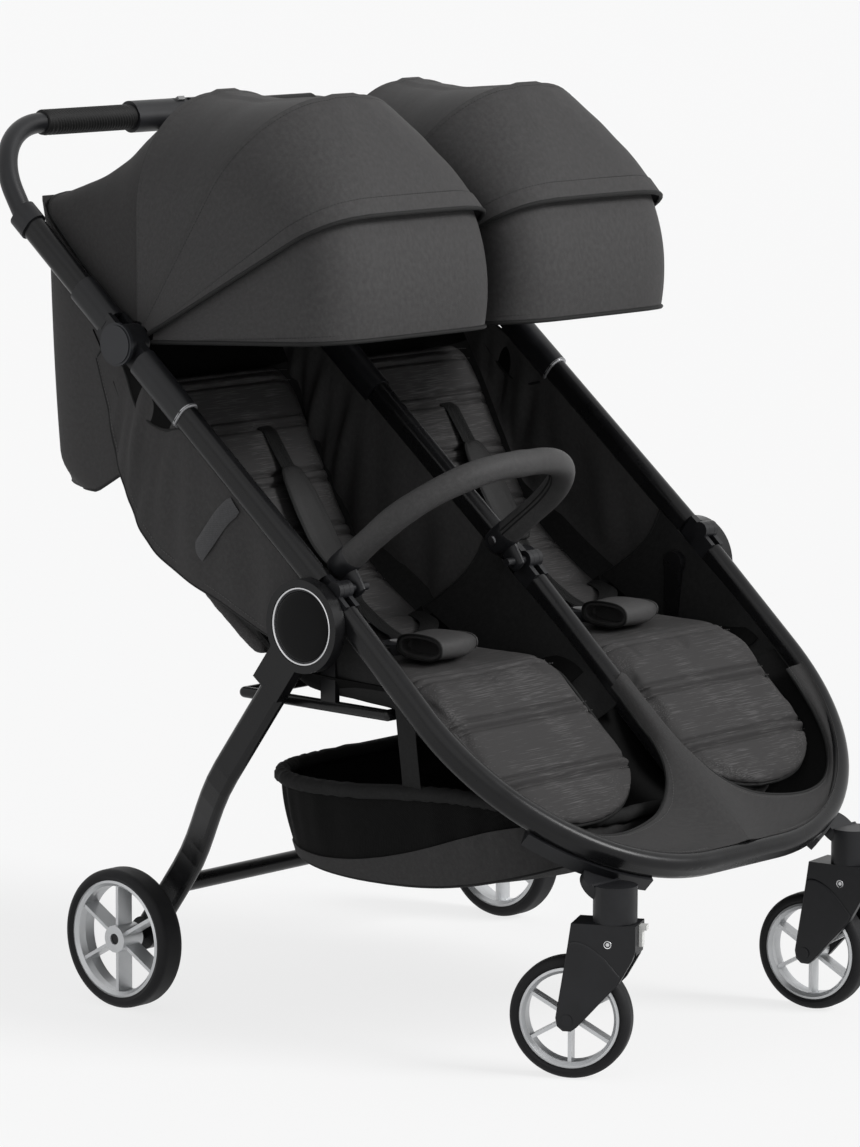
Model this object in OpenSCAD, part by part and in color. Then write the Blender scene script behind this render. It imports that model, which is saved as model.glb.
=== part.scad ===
// Side-by-side twin stroller with a three-part folding frame and swivelling front castors.
// Millimetres. X runs across, +Y to the rear, +Z up; the origin is on the ground under the middle.

/* [Frame] */
// Half distance between the outer frame tubes
frame_half_w = 347; // [335:1:360]
// Height of the bow above the lower end of the stem housings
bow_up = 47.06; // [44:0.01:50]
// Place of the rear leg hubs along the stroller
hub_y = -95; // [-105:1:-85]
// Distance of the hubs below the tube line
hub_drop = 41; // [38:1:46]
// Slope of the upper frame and handle tubes
upper_rake = 39; // [36:0.5:42]
// Slope of the front frame
lower_rake = 41.4; // [39:0.2:43]
// Width of the oval frame tube
tube_w = 24; // [20:1:26]
// Depth of the oval frame tube
tube_d = 34; // [30:1:36]
// Length of the front frame along its slope
front_reach = 473; // [460:1:490]
// Corner radius of the front bow
bow_r = 280; // [240:1:300]
// Distance from the fold to the handle joint
upper_len = 449; // [435:1:465]

/* [Fold joint] */
// Radius of the fold knuckles
knuckle_r = 11; // [9:0.5:13]
// Radius of the fold pins
fold_pin_r = 4; // [3:0.5:5]
// Thickness of the middle lug of a knuckle
lug_t = 9.6; // [8:0.2:11]
// Tube left free at each side of the fold
knuckle_gap = 26; // [24:1:32]
// Running clearance round every pin
pin_clear = 0.05; // [0.02:0.01:0.08]
// Clearance between seated pieces
seat_clear = 0.3; // [0.2:0.1:0.5]

/* [Handle] */
// Length of the handle tubes past the handle joint
handle_len = 236; // [220:1:250]
// Slope of the handlebar hoop
handle_rake = 58; // [50:1:64]
// Rise of the handlebar hoop along its slope
handle_rise = 126; // [115:1:140]
// Corner radius of the handlebar
handle_r = 96; // [80:1:108]
// Radius of the handlebar tube
bar_r = 13; // [11:0.5:15]
// Radius of the grip sleeve
grip_r = 16.5; // [15.5:0.5:18]
// Half length of the handle housing
housing_half = 92; // [80:1:110]
// Radius of the round pivot discs
disc_r = 27; // [25:0.5:30]
// Radius of the handle joint pins
disc_pin_r = 8; // [6:0.5:9]
// Thickness of the joint tongue
tongue_t = 12; // [10:0.5:14]
// Wall of the sleeves round the tubes
sleeve_wall = 3; // [2:0.5:4]
// Sleeve length below the handle joint
sleeve_len = 96; // [80:1:110]
// Free length between a sleeve and the joint axis
joint_free = 34; // [33:1:40]

/* [Rear frame] */
// Place of the rear axle along the stroller
rear_axle_y = 225; // [215:1:235]
// How far the rear wheel centres stand outside the frame tubes
wheel_out = 14; // [8:1:22]
// Radius of the rear tyres
rear_r = 88; // [84:0.5:92]
// Width of the rear tyres
rear_tyre_w = 38; // [34:1:42]
// Thickness of a rear leg
leg_t = 17; // [14:1:20]
// Width of a rear leg seen from the side
leg_w = 40; // [34:1:46]
// How far the foot of a leg stands inboard of its top
leg_set_in = 36; // [30:1:44]
// Radius of the round leg head
hub_head_r = 57; // [52:1:62]
// Radius of the cross shaft in the hubs
hub_shaft_r = 9; // [8:0.5:11]
// Radius of the rear cross tube
cross_r = 11; // [9:0.5:13]

/* [Front wheels] */
// How far the castor stems stand inside the frame tubes
stem_in = 117; // [105:1:130]
// How far the castor stems stand ahead of the bow above them
stem_ahead = 29.65; // [24:0.05:34]
// Distance from the bow down to the top of the stem housings
drum_drop = 37.7; // [34:0.1:42]
// Lower end of the stem housings
stem_z = 192; // [188:1:198]
// Radius of the stem housings
stem_r = 26.5; // [24:0.5:29]
// Distance of the wheel axle behind the stem
trail = 52; // [48:1:56]
// Radius of the front tyres
front_r = 74; // [71:0.5:76]
// Width of the front tyres
front_tyre_w = 30; // [26:1:32]
// Turn of the left castor
castor_turn_left = 27; // [-40:1:40]
// Turn of the right castor
castor_turn_right = 9; // [-40:1:40]
// Thickness of a fork cheek
cheek_t = 7; // [5:0.5:9]
// Radius of the front axles
front_axle_r = 4; // [3:0.5:5]
// Number of blades in a wheel
blades = 6; // [5:1:8]

/* [Seats] */
// Space left between the tubes beside a seat pad
pad_free = 61; // [52:1:74]
// How far the seat surface lies below the hubs at the knee
seat_drop = 62; // [54:1:70]
// Length of the seat pads
seat_len = 282; // [270:1:292]
// Thickness of the seat pads
seat_t = 34; // [28:1:40]
// Front frame left free above and below a calf pad
calf_free = 247; // [238:1:262]
// Thickness of the calf pads
calf_t = 22; // [18:1:26]
// Slope of the calf pads
calf_rake = 44; // [41:0.5:46]
// Slope of the backrests
back_rake = 62; // [58:0.5:66]
// Length of the backrests
back_len = 384; // [360:1:400]
// Thickness of the backrests
back_t = 40; // [34:1:46]
// Depth of the sewn channels
channel = 5; // [3:0.5:7]
// Width of the harness webbing
strap_w = 38; // [30:1:42]

/* [Canopies] */
// Space between a canopy and the tubes beside it
canopy_free = 15.5; // [13:0.5:22]
// Radius of the canopies at the crown seam
canopy_r = 362; // [352:1:376]
// How far the rear edge lies inside the crown seam
rear_in = 112; // [100:1:125]
// How far the rear panel sags in between its edge and the middle bow
rear_sag = 36; // [24:1:44]
// How far the middle bow lies inside the crown seam
mid_in = 59; // [45:1:70]
// How far the front edge lies inside the crown seam
front_in = 0; // [0:1:12]
// How far the lower edge of the visor lies inside the crown seam
visor_in = 34; // [24:1:44]
// Thickness of the canopy cloth
cloth_t = 2.5; // [2:0.5:3.5]

/* [Belly bar] */
// Reach of the belly bar from its pivots
bar_reach = 208; // [195:1:220]
// Radius of the padded bar
belly_r = 16; // [13:0.5:17]
// Slope of the belly bar
belly_rake = 38; // [34:1:44]
// Corner radius of the belly bar
belly_corner = 120; // [100:1:125]
// How far the bar stands above its pivots
belly_lift = 34; // [32:1:38]
// How far the bar starts behind its pivots
belly_back = 11; // [8:1:14]

/* [Basket] */
// How far the rim of the basket stands inside the frame tubes
basket_in = 35; // [33:1:60]
// Lowest height of the basket
basket_z = 190; // [184:1:200]

/* [Hidden] */
$fn = 48;
tube_x = [-frame_half_w, 0, frame_half_w];
rear_half_track = frame_half_w + wheel_out;
stem_x = frame_half_w - stem_in;
pad_w = frame_half_w - pad_free;
calf_len = front_reach - calf_free;
basket_half_w = frame_half_w - basket_in;
canopy_half_w = frame_half_w / 2 - canopy_free;
rear_hoop_r = canopy_r - rear_in;
mid_hoop_r = canopy_r - mid_in;
seam_hoop_r = canopy_r;
front_hoop_r = canopy_r - front_in;
visor_hoop_r = canopy_r - visor_in;
fold_h = tube_d / 2;
hub_z = stem_z + bow_up + front_reach * sin(lower_rake) - hub_drop * cos(upper_rake);
seat_z = hub_z - seat_drop;
t0_y = hub_y - hub_drop * sin(upper_rake);
t0_z = hub_z + hub_drop * cos(upper_rake);
fold_y = t0_y - fold_h * sin(upper_rake);
fold_z = t0_z + fold_h * cos(upper_rake);
disc_y = t0_y + upper_len * cos(upper_rake);
disc_z = t0_z + upper_len * sin(upper_rake);
grip_y = t0_y + (upper_len + handle_len) * cos(upper_rake);
grip_z = t0_z + (upper_len + handle_len) * sin(upper_rake);
cheek_w = tube_w / 2 - lug_t / 2 - seat_clear;
sleeve_w = tube_w + 2 * sleeve_wall;
sleeve_d = tube_d + 2 * sleeve_wall;
joint_r = sleeve_d / 2 + 4;
leg_dy = rear_axle_y - hub_y;
leg_dz = hub_z - rear_r;
leg_len = sqrt(leg_dy * leg_dy + leg_dz * leg_dz);
leg_rake = atan2(leg_dy, leg_dz);
leg_x = frame_half_w + tube_w / 2 - leg_t / 2 + 4;
foot_x = leg_x - leg_set_in;
leg_bend = 0.46 * leg_len;
cross_at = leg_len - 84;
head_in = frame_half_w + tube_w / 2 + 1;
head_out = head_in + 18;
seat_x = (frame_half_w + 1) / 2;
knee_y = hub_y - 118;
bight_y = knee_y + seat_len + 4;
back_z = seat_z - seat_t - 2;
wing_out = frame_half_w - 8;
wing_in = 8;
back_w = wing_out - wing_in - 2 * cloth_t - 2 * seat_clear;
back_x = (wing_out + wing_in) / 2;
outer_r = hub_shaft_r + 11;
canopy_x = frame_half_w / 2 - 1.5;
crown = 3;

// Points and frames along the tubes: d or s runs along a tube, h stands off it to the front
function upper_y(d, h = 0) = t0_y + d * cos(upper_rake) - h * sin(upper_rake);
function upper_z(d, h = 0) = t0_z + d * sin(upper_rake) + h * cos(upper_rake);
function lower_y(s, h = 0) = t0_y - s * cos(lower_rake) - h * sin(lower_rake);
function lower_z(s, h = 0) = t0_z - s * sin(lower_rake) + h * cos(lower_rake);

module on_upper(d = 0) {
    translate([0, upper_y(d), upper_z(d)]) rotate([upper_rake, 0, 0]) children();
}

module on_lower(s = 0) {
    translate([0, lower_y(s), lower_z(s)]) rotate([lower_rake, 0, 0]) children();
}

module both_sides() {
    children();
    mirror([1, 0, 0]) children();
}

// A shaft, disc or ring along X from x0 to x1
module rod_x(r, x0, x1) {
    translate([x0, 0, 0]) rotate([0, 90, 0]) cylinder(r = r, h = x1 - x0);
}

module oval(w, d) {
    square([w, d - w], center = true);
    for (s = [-1, 1]) translate([0, s * (d - w) / 2]) circle(d = w);
}

// An oval tube along +Y
module oval_y(len, w, d) {
    rotate([-90, 0, 0]) linear_extrude(len) oval(w, d);
}

// A closed skin between two grids of points; rows run to the front or left, columns to the right
module slab(top, under) {
    rows = len(top);
    cols = len(top[0]);
    n = rows * cols;
    upper = [for (i = [0 : rows - 2], j = [0 : cols - 2]) each [
        [i * cols + j, i * cols + j + 1, (i + 1) * cols + j + 1],
        [i * cols + j, (i + 1) * cols + j + 1, (i + 1) * cols + j]]];
    lower = [for (f = upper) [f[0] + n, f[2] + n, f[1] + n]];
    ring = concat([for (j = [0 : cols - 1]) j],
        [for (i = [1 : rows - 1]) i * cols + cols - 1],
        [for (j = [cols - 2 : -1 : 0]) (rows - 1) * cols + j],
        [for (i = [rows - 2 : -1 : 1]) i * cols]);
    last = len(ring) - 1;
    walls = [for (k = [0 : last]) let (a = ring[k], b = ring[k == last ? 0 : k + 1]) each [
        [a, a + n, b + n], [a, b + n, b]]];
    polyhedron(concat([for (r = top) each r], [for (r = under) each r]),
        concat(upper, lower, walls), convexity = 6);
}

// A closed skin through rings of points, listed from the top ring down
module sweep(rings) {
    n = len(rings[0]);
    last = len(rings) - 1;
    polyhedron([for (r = rings) each r], concat([[for (k = [n - 1 : -1 : 0]) k]],
        [for (i = [0 : last - 1], k = [0 : n - 1]) let (a = i * n + k, b = i * n + (k + 1) % n) each [
            [a, b, b + n], [a, b + n, a + n]]],
        [[for (k = [0 : n - 1]) last * n + k]]), convexity = 4);
}

// Front frame: one oval tube with two sides and a wide bow, flat in its own slope
module bow_sweep(w, d) {
    side = front_reach - bow_r;
    half = frame_half_w - bow_r;
    for (sx = [-1, 1]) {
        translate([sx * frame_half_w, -knuckle_gap, 0])
            rotate([90, 0, 0]) linear_extrude(side - knuckle_gap) oval(w, d);
        translate([sx * half, -side, 0])
            rotate([0, 0, sx < 0 ? 180 : 270])
            rotate_extrude(angle = 90) translate([bow_r, 0]) oval(w, d);
    }
    translate([-half, -front_reach, 0]) rotate([90, 0, 90]) linear_extrude(2 * half) oval(w, d);
}

module front_frame_tube() {
    color([0.09, 0.09, 0.1]) on_lower() bow_sweep(tube_w, tube_d);
}

// Centre spine: from the middle fold down to the inside of the bow
module centre_spine_tube() {
    len = front_reach - knuckle_gap - tube_w / 2;
    color([0.09, 0.09, 0.1]) difference() {
        on_lower() translate([0, -knuckle_gap, 0])
            rotate([90, 0, 0]) linear_extrude(len + 4) oval(tube_w, tube_d);
        on_lower() bow_sweep(tube_w + 2 * pin_clear, tube_d + 2 * pin_clear);
    }
}

// Lower knuckles: two cheeks on each tube, the hub lugs with their shafts, and the bar pins
module lower_knuckles() {
    color([0.13, 0.13, 0.14]) {
        for (x = tube_x) difference() {
            union() {
                for (sx = [-1, 1]) translate([x + sx * (tube_w - cheek_w) / 2, 0, 0]) {
                    translate([0, fold_y, fold_z]) rod_x(knuckle_r, -cheek_w / 2, cheek_w / 2);
                    on_lower() translate([-cheek_w / 2, -knuckle_gap, -tube_d / 2])
                        cube([cheek_w, knuckle_gap, tube_d / 2 + fold_h]);
                }
                if (x != 0) {
                    translate([x, hub_y, hub_z]) rod_x(outer_r, -tube_w / 2 + 0.4, tube_w / 2 - 0.4);
                    on_lower() translate([x - tube_w / 2 + 1, 1 - knuckle_gap, -hub_drop - 2])
                        cube([tube_w - 2, knuckle_gap - 4, hub_drop - tube_d / 2 + 6]);
                }
            }
            translate([x, fold_y, fold_z]) rod_x(fold_pin_r + pin_clear, -tube_w, tube_w);
        }
        both_sides() translate([0, hub_y, hub_z]) rod_x(hub_shaft_r, frame_half_w, head_out - 5);
        translate([0, fold_y, fold_z]) {
            rod_x(fold_pin_r + 1, bar_in - 12, -tube_w / 2);
            rod_x(fold_pin_r + 1, -frame_half_w + tube_w / 2, bar_out + 12);
        }
    }
}

// Seat frame: a flat tube rectangle under the pads, hung from the hub lugs by two struts
rail_r = 7;
rail_x = frame_half_w - tube_w / 2 - rail_r - 2;
rail_z = seat_z - seat_t - rail_r - pin_clear;

module seat_frame() {
    front = knee_y + 24;
    rear = bight_y - 26;
    color([0.09, 0.09, 0.1]) {
        for (y = [front, rear]) translate([0, y, rail_z]) rod_x(rail_r, -rail_x, rail_x);
        for (x = [-rail_x, 0, rail_x]) translate([x, front, rail_z]) rotate([-90, 0, 0])
            cylinder(r = rail_r, h = rear - front);
        for (x = [-rail_x, rail_x], y = [front, rear]) translate([x, y, rail_z]) sphere(r = rail_r);
        for (x = [-rail_x, rail_x]) translate([x - 4, hub_y - 12, rail_z]) cube([8, 24, hub_z - rail_z]);
        both_sides() translate([0, hub_y, hub_z]) rod_x(15, rail_x - 3, frame_half_w - tube_w / 2 + 0.3);
    }
}

// Castor brackets: a saddle under the bow, an arm to the front and the stem housing
stem_at = asin((stem_x - frame_half_w + bow_r) / bow_r);
stem_s = front_reach - bow_r + bow_r * cos(stem_at);
stem_y = lower_y(stem_s) - stem_ahead;
drum_h = lower_z(stem_s) - drum_drop - stem_z;
bracket_arc = 34;
saddle_t = 14;
pin_len = 36;

module castor_bracket() {
    half = frame_half_w - bow_r;
    on_lower() translate([half, -(front_reach - bow_r), 0])
        rotate([0, 0, 270 + stem_at - bracket_arc / 2])
        rotate_extrude(angle = bracket_arc) difference() {
            translate([bow_r - tube_w / 2 - 1, -tube_d / 2 - saddle_t]) square([tube_w + 4, saddle_t + 5]);
            translate([bow_r, 0]) oval(tube_w + 2 * pin_clear, tube_d + 2 * pin_clear);
        }
    difference() {
        union() {
            on_lower() translate([stem_x, -front_reach + 20, -tube_d / 2 - saddle_t - 1])
                cylinder(r = stem_r - 1, h = saddle_t + 0.5);
            translate([stem_x, stem_y, stem_z]) cylinder(r = stem_r, h = drum_h);
        }
        translate([stem_x, stem_y, stem_z - 1]) cylinder(r = 7 + pin_clear, h = pin_len + 2);
        on_lower() translate([0, -front_reach + 18, -tube_d / 2 - 6]) cube([2 * frame_half_w, 200, 90]);
    }
}

module castor_brackets() {
    color([0.1, 0.1, 0.11]) both_sides() castor_bracket();
}

// Two round-headed bolts under each bracket saddle
module bracket_bolts() {
    half = frame_half_w - bow_r;
    color([0.3, 0.3, 0.31]) both_sides() on_lower() for (a = [-1, 1])
        translate([half, -(front_reach - bow_r), -tube_d / 2 - saddle_t])
        rotate([0, 0, stem_at + a * (bracket_arc / 2 - 2.4)])
        translate([0, -bow_r, -3]) cylinder(r = 4.5, h = 3);
}

// Sewn cushion: rows from the far end to the near end, a crown, drawn-in sides and channels
function pad_rows(marks) = concat([0, 0.03, 0.1],
    [for (m = marks) each [m - 0.028, m, m + 0.028]], [0.9, 0.97, 1]);
function pad_half(w, v, round_end, draw) = w / 2 - draw * sin(180 * v)
    - (v < round_end ? w * 0.42 * (1 - sqrt(1 - pow(1 - v / round_end, 2))) : 0);
function pad_groove(v, marks) = len([for (m = marks) if (abs(v - m) < 0.005) 1]) > 0 ? channel : 0;
function pad_rise(u, v, edge) = edge + (1 - edge) * (1 - pow(abs(u), 3)) * min(1, 12 * v, 12 * (1 - v));

module cushion(w, l, t, marks, round_end = 0.02, draw = 4, edge = 0.45, step = 0) {
    steps = [-1, -0.9, -0.55, 0, 0.55, 0.9, 1];
    vs = pad_rows(marks);
    rows = [for (k = [len(vs) - 1 : -1 : 0]) vs[k]];
    function half(v) = pad_half(w, v, round_end, draw) - step * min(1, max(0, (v - 0.1) / 0.12));
    slab([for (v = rows) [for (u = steps) [u * half(v), v * l,
            t * pad_rise(u, v, edge) - pad_groove(v, marks) * (1 - pow(abs(u), 4))]]],
        [for (v = rows) [for (u = steps) [u * half(v), v * l, 0]]]);
}

module seat_pad(sx) {
    color([0.2, 0.2, 0.2]) translate([sx * seat_x, knee_y, seat_z - seat_t])
        cushion(pad_w, seat_len, seat_t, [0.22, 0.5, 0.78]);
}

module calf_pad(sx) {
    color([0.2, 0.2, 0.2]) translate([sx * seat_x, knee_y - 18, seat_z - 10]) rotate([calf_rake, 0, 0])
        translate([0, -calf_len, -calf_t])
        cushion(pad_w - 6, calf_len, calf_t, [0.36, 0.64], round_end = 0.4);
}

// Footwell panel: an apron along the bow and a tongue between the two wells
module well_outline(grow = 0) {
    half = frame_half_w - bow_r;
    side = front_reach - bow_r;
    inner = bow_r - tube_w / 2 - grow;
    top = knuckle_gap + 80;
    polygon(concat([[-frame_half_w + tube_w / 2 + grow, -top]],
        [for (a = [180 : 10 : 270]) [-half + inner * cos(a), -side + inner * sin(a)]],
        [for (a = [270 : 10 : 360]) [half + inner * cos(a), -side + inner * sin(a)]],
        [[frame_half_w - tube_w / 2 - grow, -top]]));
}

module well_cut(sx) {
    front = front_reach - tube_w / 2 - 30;
    polygon([for (a = [0 : 10 : 350]) let (k = cos(a), q = sin(a))
        [sx * (seat_x + 12 + (pad_w / 2 + 4) * sign(k) * pow(abs(k), 0.8)),
            -front + 200 + (q < 0 ? 200 * sign(q) * pow(abs(q), 0.8) : 330 * q)]]);
}

module footwell_panel() {
    color([0.18, 0.18, 0.18]) on_lower() translate([0, 0, -tube_d / 2 + 6]) linear_extrude(3) difference() {
        well_outline(seat_clear);
        for (sx = [-1, 1]) well_cut(sx);
        translate([-tube_w / 2 - seat_clear, -front_reach]) square([tube_w + 2 * seat_clear, front_reach]);
    }
    color([0.18, 0.18, 0.18]) tongue();
}

// Tongue: the raised cloth strip over the centre spine, wider towards the bow
module tongue() {
    near = knuckle_gap + 90;
    far = front_reach - tube_w / 2 - 10;
    steps = [-1, -0.7, -0.35, 0, 0.35, 0.7, 1];
    rows = [0, 0.25, 0.5, 0.7, 0.85, 1];
    function tongue_half(v) = seat_x - pad_w / 2 - 3 + 50 * pow(v, 4);
    function tongue_h(u) = -4 + (tube_d / 2 + 6.8) * (1 - pow(abs(u), 2.5));
    on_lower() slab(
        [for (v = rows) [for (u = steps) [u * tongue_half(v), -between(near, far, v), tongue_h(u)]]],
        [for (v = rows) [for (u = steps) [u * tongue_half(v), -between(near, far, v), tongue_h(u) - cloth_t]]]);
}

// Cloth basin below the two wells
module footwell_liner() {
    near = knuckle_gap + 170;
    far = front_reach - tube_w / 2 - 20;
    steps = [-1, -0.8, -0.5, -0.2, 0, 0.2, 0.5, 0.8, 1];
    rows = [0, 0.25, 0.5, 0.75, 0.88, 1];
    function liner_half(v) = frame_half_w - tube_w / 2 - 24 - 150 * pow(v, 2.2);
    function liner_rim(v) = v < 0.9 ? -34 - 14 * v : -tube_d / 2 + 5;
    function liner_dip(u, v) = v < 0.9 ? 34 * sin(180 * v) * (1 - u * u) : 7 * max(0, 1 - abs(u) / 0.2);
    function liner_sag(u, v) = liner_rim(v) - liner_dip(u, v);
    color([0.05, 0.05, 0.05]) on_lower() slab(
        [for (v = rows) [for (u = steps) [u * liner_half(v), -near - (far - near) * v, liner_sag(u, v)]]],
        [for (v = rows) [for (u = steps) [u * liner_half(v), -near - (far - near) * v, liner_sag(u, v) - cloth_t]]]);
}

// Crotch pads: a flat roll of cloth on each seat
crotch_y = knee_y + 72;
crotch_h = 30;

module crotch_pads() {
    color([0.16, 0.16, 0.16]) for (sx = [-1, 1])
        translate([sx * seat_x - 48, crotch_y, seat_z + seat_clear + crotch_h / 2])
        rotate([90, 0, 90]) linear_extrude(96) rotate(90) oval(crotch_h, 72);
}

// Buckles behind the crotch pads, each with a sprung push button
buckle_y = crotch_y + 74;
buckle_h = 16;

module buckles() {
    color([0.07, 0.07, 0.07]) for (sx = [-1, 1]) translate([sx * seat_x, buckle_y, seat_z + seat_clear]) difference() {
        union() {
            linear_extrude(buckle_h) rotate(90) oval(36, 58);
            translate([-12, -34, 0]) cube([24, 20, 5]);
        }
        translate([0, 0, buckle_h - 8]) cylinder(r = 10 + 2 * seat_clear, h = 9);
    }
}

module buckle_button(sx) {
    color([0.55, 0.55, 0.55]) translate([sx * seat_x, buckle_y, seat_z + seat_clear + buckle_h - 4])
        cylinder(r = 10, h = 5.5);
}

// Basket: one sagging tub of cloth and net under the seats
basket_rear = rear_axle_y - 150;
basket_front = stem_y + 96;

module basket() {
    stations = [0, 0.02, 0.2, 0.45, 0.7, 0.98, 1];
    steps = [-1, -0.985, -0.94, -0.78, -0.4, 0, 0.4, 0.78, 0.94, 0.985, 1];
    mid = (basket_rear + basket_front) / 2;
    function rim(v) = basket_z + 118 - 10 * sin(180 * v) + 34 * v * v - 100 * pow(v, 6);
    function depth(u, v) = v < 0.01 || v > 0.99 ? 1 : pow(abs(u), 9);
    function floor_z(v) = basket_z + 26 * pow(abs(2 * v - 0.9), 2.4);
    function half(v) = basket_half_w - 60 * pow(v, 3);
    function tub(u, v, t) = [u * (half(v) - t), mid + (basket_rear - mid) * (1 - 2 * v) * (1 - t / 200),
        floor_z(v) + (rim(v) - floor_z(v)) * depth(u, v) + t * (1 - depth(u, v))];
    color([0.06, 0.06, 0.06]) {
        slab([for (v = stations) [for (u = steps) tub(u, v, cloth_t)]],
            [for (v = stations) [for (u = steps) tub(u, v, 0)]]);
        both_sides() for (v = [0.2, 0.45]) let (x = half(v), y = tub(1, v, 0)[1], z = rim(v), top = rail_z - rail_r)
            translate([0, y + 14, 0]) rotate([90, 0, 0]) linear_extrude(28) polygon([[x - 2.6, z - 12],
                [x - 0.2, z - 12], [rail_x + 1.2, top - pin_clear], [rail_x - 1.2, top - pin_clear]]);
    }
}

// Upper frame: three straight oval tubes
module upper_tubes() {
    color([0.09, 0.09, 0.1]) for (x = tube_x) on_upper(knuckle_gap) translate([x, 0, 0])
        oval_y(upper_len - joint_free - knuckle_gap, tube_w, tube_d);
}

// Upper knuckles: the middle lug on each tube, with the fold pin fixed in it
module upper_knuckles() {
    color([0.13, 0.13, 0.14]) for (x = tube_x) {
        translate([x, fold_y, fold_z]) {
            rod_x(knuckle_r, -lug_t / 2, lug_t / 2);
            rod_x(fold_pin_r, -tube_w / 2, tube_w / 2);
        }
        on_upper() translate([x - lug_t / 2, 0, -tube_d / 2]) cube([lug_t, knuckle_gap, tube_d / 2 + fold_h]);
    }
}

// Joint sleeves: a moulded sleeve on each upper tube with a tongue for the handle joint
canopy_pin_r = 6;
canopy_pin_end = canopy_x - canopy_half_w + 15;

module joint_sleeves() {
    color([0.14, 0.14, 0.15]) for (x = tube_x) {
        difference() {
            union() {
                on_upper(upper_len - joint_free - sleeve_len) translate([x, 0, 0])
                    oval_y(sleeve_len, sleeve_w, sleeve_d);
                on_upper(upper_len - joint_free) translate([x - tongue_t / 2, -4, -joint_r + 7])
                    cube([tongue_t, joint_free + 4, 2 * joint_r - 14]);
                translate([x, disc_y, disc_z]) rod_x(joint_r, -tongue_t / 2 + 0.1, tongue_t / 2 - 0.1);
            }
            on_upper(knuckle_gap) translate([x, 0, 0])
                oval_y(upper_len - joint_free - knuckle_gap, tube_w + 2 * pin_clear, tube_d + 2 * pin_clear);
            if (x != 0) translate([x, disc_y, disc_z]) rod_x(disc_pin_r + pin_clear, -tongue_t, tongue_t);
        }
        if (x == 0) translate([0, disc_y, disc_z]) rod_x(canopy_pin_r, -canopy_pin_end, canopy_pin_end);
    }
}

// Side wings: the cloth side walls of a seat, hung from an outer tube and the centre tube
module wing(x0) {
    hang = tube_d / 2 - 3;
    translate([x0, 0, 0]) rotate([90, 0, 90]) linear_extrude(cloth_t) polygon([
        [upper_y(52, -hang), upper_z(52, -hang)],
        [upper_y(316, -hang), upper_z(316, -hang)],
        [upper_y(318, -hang - 4), upper_z(318, -hang - 4)],
        [upper_y(400, -hang - 4), upper_z(400, -hang - 4)],
        [upper_y(396, -52), upper_z(396, -52)],
        [upper_y(378, -84), upper_z(378, -84)],
        [upper_y(330, -128), upper_z(330, -128)],
        [upper_y(262, -176), upper_z(262, -176)],
        [upper_y(150, -148), upper_z(150, -148)],
        [upper_y(86, -132), upper_z(86, -132)],
        [upper_y(36, -136), upper_z(36, -136)],
        [upper_y(22, -88), upper_z(22, -88)]]);
}

module side_wings(sx) {
    color([0.07, 0.07, 0.07]) for (x = [-wing_out, -wing_in - cloth_t])
        mirror([sx < 0 ? 0 : 1, 0, 0]) wing(x);
}

// Backrests: a long sewn cushion that reclines about the back edge of the seat
module backrest(sx) {
    color([0.2, 0.2, 0.2]) translate([sx * back_x, bight_y, back_z]) rotate([back_rake, 0, 0])
        translate([0, 8, -back_t]) cushion(back_w, back_len, back_t, [0.2, 0.38, 0.56, 0.74], draw = 0.3, step = sleeve_wall + 2);
}

// Harness: two webbing straps with quilted shoulder pads on each backrest
module harness(sx) {
    color([0.05, 0.05, 0.05]) translate([sx * seat_x, bight_y, back_z]) rotate([back_rake, 0, 0])
        for (hx = [-1, 1]) translate([hx * 58, 60, -1.5]) {
            translate([-strap_w / 2, 0, 0]) cube([strap_w, 245, 2]);
            translate([0, 105, 2]) linear_extrude(9) oval(strap_w + 18, 150);
        }
}

// Handle fittings: a sleeve on each handle tube with two cheeks outside the tongue
module handle_fittings() {
    cheek = (sleeve_w - tongue_t) / 2 - seat_clear - 0.4;
    color([0.14, 0.14, 0.15]) for (x = [-frame_half_w, frame_half_w]) difference() {
        union() {
            on_upper(upper_len + joint_free) translate([x, 0, 0]) oval_y(sleeve_len - 30, sleeve_w, sleeve_d);
            for (sx = [-1, 1]) translate([x + sx * (sleeve_w - cheek - 0.8) / 2, 0, 0]) {
                on_upper(upper_len) translate([-cheek / 2, 0, -joint_r + 7])
                    cube([cheek, joint_free + 4, 2 * joint_r - 14]);
                translate([0, disc_y, disc_z]) rod_x(joint_r, -cheek / 2 + 0.1, cheek / 2 - 0.1);
            }
        }
        on_upper(upper_len + joint_free) translate([x, 0, 0])
            oval_y(handle_len, tube_w + 2 * pin_clear, tube_d + 2 * pin_clear);
        translate([x, disc_y, disc_z]) rod_x(disc_pin_r + pin_clear, -sleeve_w, sleeve_w);
    }
}

// Pivot discs: a round cover outside each handle joint, its pin, and the canopy pin inside
module pivot_discs() {
    out = frame_half_w + sleeve_w / 2 + seat_clear;
    color([0.16, 0.16, 0.18]) both_sides() translate([0, disc_y, disc_z]) {
        rod_x(disc_r, out, out + 5);
        rod_x(disc_r - 3, out + 5, out + 6.5);
        rod_x(disc_pin_r, frame_half_w - sleeve_w / 2, out);
        rod_x(canopy_pin_r, canopy_x + canopy_half_w - 15, frame_half_w - sleeve_w / 2);
    }
}

tube_end = 7;

module handle_tubes() {
    color([0.09, 0.09, 0.1]) for (x = [-frame_half_w, frame_half_w])
        on_upper(upper_len + joint_free) translate([x, 0, 0]) oval_y(handle_len - joint_free - tube_end, tube_w, tube_d);
}

// Handlebar: end sockets on the tubes and a hoop that rises to a straight crossbar
module on_handle() {
    translate([0, grip_y, grip_z]) rotate([handle_rake, 0, 0]) children();
}

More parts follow.
